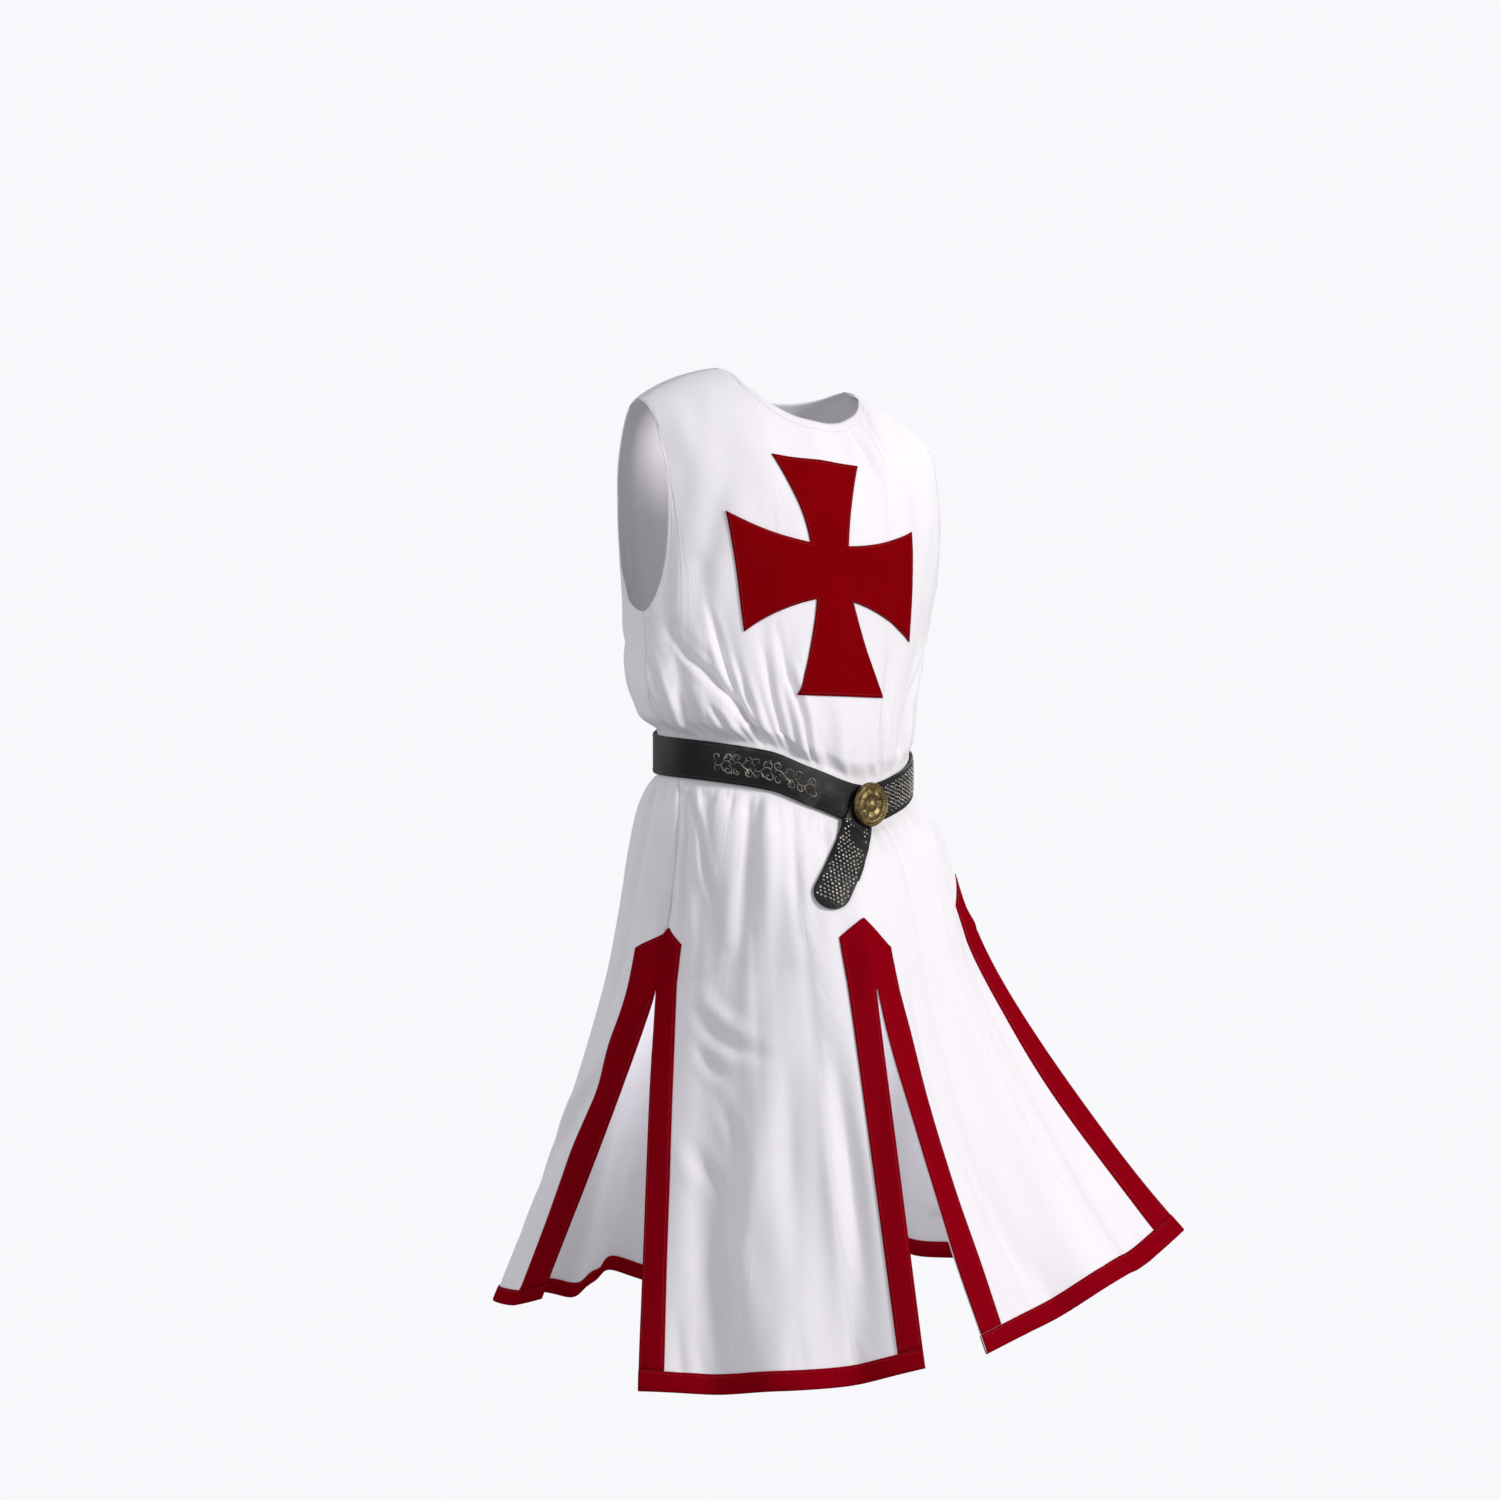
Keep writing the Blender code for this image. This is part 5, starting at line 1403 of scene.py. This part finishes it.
def make_studs(name, places, outs, radius, recipe):
    """One mesh of small domes standing on given points."""
    points, faces = [], []
    for at, out in zip(places, outs):
        at, out = Vector(at), Vector(out)
        side = out.orthogonal().normalized()
        other = out.cross(side)
        start = len(points)
        size = radius * rng.uniform(*STUD_SIZES)
        for wide, rise in STUD_RINGS:
            for place in range(STUD_SIDES):
                turn = place * 2 * math.pi / STUD_SIDES
                spoke = side * math.cos(turn) + other * math.sin(turn)
                points.append(at + (spoke * wide + out * rise) * size)
        last = len(points) - STUD_SIDES
        points.append(at + out * size * STUD_TOP)
        faces += ring_faces(len(STUD_RINGS), STUD_SIDES, start)
        for place in range(STUD_SIDES):
            faces.append((last + place, last + (place + 1) % STUD_SIDES, last + STUD_SIDES))
    return dress(new_piece(name, points, faces, recipe))


def stud_places(start, end, half):
    """Uneven rows of studs: places along a strap and to its side, staggered from row to row."""
    for row in range(int((end - start) / STUD_ROW)):
        for lane in STUD_LANES:
            side = (lane + 0.5 * (row % 2)) * STUD_PITCH
            if abs(side) < half:
                along_off, side_off = rng.uniform(-STUD_JITTER, STUD_JITTER, 2)
                yield start + row * STUD_ROW + along_off, side + side_off


def tail_studs():
    places, outs = [], []
    for along, side in stud_places(*TAIL_STUDS, TAIL_WIDTH / 2):
        if abs(side) < tail_half_width(along) - TAIL_MARGIN:
            at, out = on_tail(np.array([along]), np.array([side]), TAIL_THICKNESS)
            places.append(at[0])
            outs.append(out[0])
    return make_studs("tail_studs", places, outs, STUD, DULL_SILVER)


def strap_studs():
    places, outs = [], []
    for along, height in stud_places(*STRAP_STUDS, BELT_HALF - STRAP_MARGIN):
        angle = BUCKLE_ANGLE + along / STRAP_REACH
        places.append(belt_point(np.array(angle), height, STRAP_FACE))
        outs.append((math.sin(angle), -math.cos(angle), 0))
    return make_studs("strap_studs", places, outs, STUD * 0.85, DULL_SILVER)


studs = [tail_studs(), strap_studs()]
print("stud faces:", sum(len(piece.data.polygons) for piece in studs))

# %% [markdown]
# ## The scrolls' strokes
# A curl is a spiral that closes as it winds, a leaf is a short stroke that bends as it goes, and the stem
# is one wave. Each unit of the run takes its curls, stem, leaves and small spots from the same few sizes,
# and small random shifts keep the units from looking stamped.

# %% Scrolls
SCROLL_START = math.radians(-60)
SCROLL_END = math.radians(-14)
SCROLLS = 5
SCROLL_LIMIT = BELT_HALF - 0.0050
CURLS = ((-1, 1, 0.0050), (1, 1, 0.0044), (-1, -1, 0.0042), (1, -1, 0.0050))
CURL_PLACE, CURL_HEIGHT, CURL_CLOSE = 0.55, 0.0070, 0.80
LEAF_LENGTH, SPOT_LENGTH = 0.0095, 0.0032
STEM_RISE = 0.0032
SPOTS = 3
HALF_WIDTHS = {"curl": 0.00075, "stem": 0.00070, "leaf": 0.00120, "spot": 0.00085}


def curl(centre, up, size, start, way, turns):
    """A spiral on the strap's face from its open end inwards."""
    wind = np.linspace(0, turns * 2 * math.pi, 34)
    radius = size * (1 - CURL_CLOSE * wind / wind[-1])
    return centre + radius * np.cos(start + way * wind), up + radius * np.sin(start + way * wind)


def leaf(centre, up, heading, length, bend):
    """A short bent stroke that swells in its middle."""
    share = np.linspace(0, 1, 9)
    turned = heading + bend * (share - 0.5)
    across = centre + np.cumsum(np.cos(turned)) * length / 9
    return across, up + np.cumsum(np.sin(turned)) * length / 9


def scroll_strokes():
    """Strokes of the inlay as distances along the strap, heights on it and half-widths."""
    length = (SCROLL_END - SCROLL_START) * STRAP_REACH
    half = length / SCROLLS / 2
    strokes = []
    for unit in range(SCROLLS):
        at = half * (2 * unit + 1) + rng.uniform(-0.001, 0.001)
        way = -1 if unit % 2 else 1
        for side, level, size in CURLS:
            height = level * (CURL_HEIGHT + rng.uniform(-0.0008, 0.0008))
            start = -level * math.pi / 2 + rng.uniform(-0.5, 0.5)
            turns = rng.uniform(0.8, 1.3)
            stroke = curl(at + side * half * CURL_PLACE, height, size, start, side * level, turns)
            strokes.append((*stroke, HALF_WIDTHS["curl"]))
        stem = np.linspace(-1, 1, 15)
        stem_up = way * STEM_RISE * np.sin(stem * math.pi)
        strokes.append((at + stem * half * 0.9, stem_up, HALF_WIDTHS["stem"]))
        for side in (-1, 1):
            heading = side * way * 1.2 + rng.uniform(-0.3, 0.3)
            stroke = leaf(at + side * half * 0.15, side * way * 0.0010, heading, LEAF_LENGTH, -side * 1.1)
            strokes.append((*stroke, HALF_WIDTHS["leaf"]))
        for _ in range(SPOTS):
            stroke = leaf(at + rng.uniform(-0.9, 0.9) * half, rng.uniform(-0.011, 0.011),
                          rng.uniform(0, 2 * math.pi), SPOT_LENGTH, 0.5)
            strokes.append((*stroke, HALF_WIDTHS["spot"]))
    return strokes


def make_scrolls():
    data = bpy.data.curves.new("strap_scrolls", "CURVE")
    data.dimensions = "3D"
    data.bevel_depth = 1.0
    data.bevel_resolution = 1
    data.use_fill_caps = True
    for across, up, half in scroll_strokes():
        run = belt_point(SCROLL_START + across / STRAP_REACH, np.clip(up, -SCROLL_LIMIT, SCROLL_LIMIT),
                         STRAP_FACE)
        line = data.splines.new("POLY")
        line.points.add(len(run) - 1)
        swell = np.sin(np.linspace(0.35, math.pi - 0.25, len(run)))
        for spot, at, wide in zip(line.points, run, swell):
            spot.co = (*at, 1)
            spot.radius = half * wide
    data.materials.append(INLAY)
    piece = bpy.data.objects.new("strap_scrolls", data)
    bpy.context.scene.collection.objects.link(piece)
    return dress(piece)


scrolls = make_scrolls()
print("scroll runs:", len(scrolls.data.splines))

# %% [markdown]
# ## Topstitching
# Rows of small stitches hold the facings, the bindings and the cross, and close the turned neck and armhole
# edges. A stitch is a slim lozenge lying along its seam, sunk at both ends. Thousands of them in one joined
# mesh cost little, and they catch the light as thread does, where a bump would only darken the cloth.

# %% Making stitches
PITCH = 0.0034
STITCH = 0.0025
THREAD_HALF = 0.00032
STAND, SUNK = 0.6, 0.4


def stitch_row(points, outs):
    """Ends and directions of even stitches along a run of points."""
    travel = travel_along(points, 0)
    starts = np.arange(PITCH / 2, travel[-1] - STITCH, PITCH)

    def read(values, at):
        return np.stack([np.interp(at, travel, values[:, axis]) for axis in range(3)], axis=-1)

    return read(points, starts), read(points, starts + STITCH), read(outs, starts + STITCH / 2)


def make_stitches(name, runs, recipe):
    points, faces = [], []
    for run_points, run_outs in runs:
        begins, ends, outs = stitch_row(run_points, run_outs)
        for begin, end, out in zip(begins, ends, outs):
            out = unit(out) * THREAD_HALF
            side = unit(np.cross(end - begin, out)) * THREAD_HALF
            middle = (begin + end) / 2 + out * STAND
            start = len(points)
            points += [begin - out * SUNK, end - out * SUNK]
            points += [middle + side, middle + out, middle - side, middle - out]
            for a, b in ((2, 3), (3, 4), (4, 5), (5, 2)):
                faces += [(start, start + a, start + b), (start + 1, start + b, start + a)]
    return dress(new_piece(name, points, faces, recipe))


print("stitches on a metre of seam:", round(1 / PITCH))

# %% [markdown]
# ## Where the seams run
# A facing is sewn down both edges of each leg and along its roof, a binding along its upper edge on both
# faces, and the cross round its whole outline. The white cloth has one seam along the turned neck and
# armhole edges, and the strap one along each edge. Each run is a line of points on its own surface and the
# directions out of it.

# %% Seams
TRIM_FACE = TRIM_LIFT + TRIM + 0.0001
BINDING_FACE = TRIM_LIFT + BINDING
CROSS_INSET = 0.0028
OUT_STEP = 0.001
HEM_SEAM = 0.0015
WHITE_FACE = CLOTH / 2 + 0.0007
STRAP_INSET = 0.0032
STRAP_SEAM_GAP = math.radians(12)
ROOF_SEAM, LEG_SEAM_END = 0.13, 0.06
LEG_SEAM_STARTS = (2.05, 1.10)


def facing_seams(half, at_side):
    """Topstitching down both edges of one leg and along its half of the roof."""
    inset = GROOVE_PLACE / TRIM_WIDTH
    roof = np.linspace(0.02, 1 - inset, 40)
    lines = [(across, np.linspace(POINT_ROW + start, BAND_ROW - LEG_SEAM_END, 220))
             for across, start in zip((inset, 1 - inset), LEG_SEAM_STARTS)]
    lines.append((roof, POINT_ROW + roof + ROOF_SEAM))
    return [on_cloth(half, SIDE_COLUMN - across if at_side else across, rows, TRIM_FACE)
            for across, rows in lines]


red_runs = []
for half, at_side in (("front_right", False), ("front_left", False), ("front_right", True),
                      ("back_right", True), ("front_left", True), ("back_left", True)):
    red_runs += facing_seams(half, at_side)
for half in HALVES:
    columns = np.linspace(0.02, SIDE_COLUMN - 0.02, 300)
    red_runs.append(on_cloth(half, columns, BAND_ROW + SEAM_PLACE, BINDING_FACE))
    inner, outs = on_cloth(half, columns, BAND_ROW + SEAM_PLACE, -BINDING_FACE)
    red_runs.append((inner, -outs))
ARM_PATHS = {
    "up": [(0, 0), (0, 1), (1, 1), (1, 0)],
    "down": [(0, 1), (0, 0), (1, 0), (1, 1)],
    "right": [(1, 0), (0, 0), (0, 1), (1, 1)],
    "left": [(0, 1), (1, 1), (1, 0), (0, 0)],
}
for name, path in ARM_PATHS.items():
    for here, there in zip(path, path[1:]):
        share = np.linspace(0, 1, 60)
        u, v = [start + (end - start) * share for start, end in zip(here, there)]
        flat = cross_flat(name, u, v, CROSS_INSET)
        points, above = [on_chest(flat[:, 0], flat[:, 1], lift) for lift in (TRIM_FACE, TRIM_FACE + OUT_STEP)]
        red_runs.append((points, above - points))

white_runs = []
for half in HALVES:
    for first, last in ((0.0, NECK_COLUMN - 0.05), (TIP_COLUMN + 0.05, SIDE_COLUMN - 0.02)):
        turn = grid_place(half, np.linspace(first, last, 160), 0.0)[0]
        drop = (BORDER - HEM_SEAM) / (top_height(turn) - waist_height(angle_of(turn)))
        white_runs.append(cloth_point(HALVES[half]["panel"], turn, drop, WHITE_FACE))

belt_runs = []
for height in (BELT_HALF - STRAP_INSET, -BELT_HALF + STRAP_INSET):
    angles = round_the_waist(STRAP_SEAM_GAP, 500)
    outs = np.stack([np.sin(angles), -np.cos(angles), 0 * angles], axis=-1)
    belt_runs.append((belt_point(angles, height, STRAP_FACE), outs))
print("seams:", len(red_runs), "red,", len(white_runs), "white and", len(belt_runs), "on the belt")

# %% [markdown]
# ## Sewing them
# All stitches of one thread become one mesh, so the garment has three pieces of stitching: red, white and
# black.

# %% Stitches
red_stitches = make_stitches("red_topstitching", red_runs, RED_THREAD)
white_stitches = make_stitches("white_topstitching", white_runs, WHITE_THREAD)
belt_stitches = make_stitches("belt_stitching", belt_runs, BLACK_THREAD)
print("stitch faces:", [len(piece.data.polygons) for piece in (red_stitches, white_stitches, belt_stitches)])

# %% [markdown]
# ## What each piece of cloth was cut from
# The front and back are cut as one widening panel each, and the facings and bindings as strips.

print("front and back cut as panels, facings and bindings as strips")

# %% [markdown]
# ## Light and camera
# The garment stands before a plain pale sky that looks brighter than it shines. One soft light stands high
# at the viewer's right, as in the photograph, where the left side falls into lavender shade. Broad weak
# lights fill the front and the left, one lights the back, and a faint one inside the skirt stands for the
# light that comes through thin cloth.

# %% Sky and lights
CAMERA_AZIMUTH = math.radians(-36)
RIGHT = Vector((math.cos(CAMERA_AZIMUTH), math.sin(CAMERA_AZIMUTH), 0))
AWAY = Vector((-math.sin(CAMERA_AZIMUTH), math.cos(CAMERA_AZIMUTH), 0))
UP = Vector((0, 0, 1))
GARMENT_MIDDLE = -0.55 * UP
SKY_SHINES, SKY_LOOKS = 0.40, 0.97
LIGHTS = {
    "Key": (RIGHT * 2.7 - AWAY * 1.9 + UP * 0.9, 1.0, 94, (1.0, 0.985, 0.97)),
    "Fill": (-RIGHT * 1.2 - AWAY * 3.4 + UP * 0.6, 2.0, 26, (0.96, 0.95, 1.0)),
    "Side": (-RIGHT * 3.0 + AWAY * 0.9 + UP * 0.3, 2.2, 22, (0.94, 0.95, 1.0)),
    "Back": (AWAY * 3.2 + RIGHT * 1.6 + UP * 1.2, 1.6, 55, (1.0, 0.99, 0.98)),
}

sky = Bench(bpy.data.worlds.new("Studio"), {"Color": (0.97, 0.97, 1.0, 1)}, "Background")
seen = sky.node("ShaderNodeLightPath", output="Is Camera Ray")
sky.feed("Strength", SKY_SHINES + (SKY_LOOKS - SKY_SHINES) * seen)
bpy.context.scene.world = sky.made
bpy.context.scene.view_settings.view_transform = "Standard"


def soft_light(name, at, size, power, colour, target=GARMENT_MIDDLE):
    data = bpy.data.lights.new(name, "AREA")
    data.shape = "SQUARE"
    data.size = size
    data.energy = power
    data.color = colour
    lamp = bpy.data.objects.new(name, data)
    lamp.location = at
    lamp.rotation_euler = (target - at).to_track_quat("-Z", "Y").to_euler()
    bpy.context.scene.collection.objects.link(lamp)
    return lamp


for name, (at, size, power, colour) in LIGHTS.items():
    soft_light(name, at, size, power, colour)
INNER_AT, INNER_TARGET = Vector((0.02, -0.02, -0.62)), Vector((-0.10, 0.06, -1.2))
inner = soft_light("Inner", INNER_AT, 0.20, 1.0, (0.95, 0.96, 1.0), INNER_TARGET)
inner.visible_camera = False
print("lights:", [lamp.name for lamp in bpy.data.lights])

# %% [markdown]
# ## The photograph's place
# The photograph gives the camera: the garment's axis and the horizon fall on known pixels, and a metre of
# the garment covers about 920 of them. Its distance is a guess that keeps the lens long, and the aim is
# moved aside so that the garment falls where it does in the photograph.

# %% Camera
CAMERA_DISTANCE = 4.5
CAMERA_HEIGHT = -0.30
PIXELS_PER_METRE = 920
FRAME_PIXELS = 1501
AXIS_PIXEL = 790
HORIZON_PIXEL = 658
SENSOR = 36

camera_data = bpy.data.cameras.new("Photo")
camera_data.sensor_width = SENSOR
camera_data.lens = SENSOR * PIXELS_PER_METRE * CAMERA_DISTANCE / FRAME_PIXELS
camera = bpy.data.objects.new("Photo", camera_data)
camera.location = UP * CAMERA_HEIGHT - AWAY * CAMERA_DISTANCE
aim = (RIGHT * (FRAME_PIXELS / 2 - AXIS_PIXEL) / PIXELS_PER_METRE
       + UP * (CAMERA_HEIGHT - (FRAME_PIXELS / 2 - HORIZON_PIXEL) / PIXELS_PER_METRE))
camera.rotation_euler = (aim - camera.location).to_track_quat("-Z", "Y").to_euler()
bpy.context.scene.collection.objects.link(camera)
bpy.context.scene.camera = camera
print("lens:", round(camera_data.lens, 1), "mm")

# %% [markdown]
# ## Finish
# The view layer is brought up to date.

# %% Finish
bpy.context.view_layer.update()
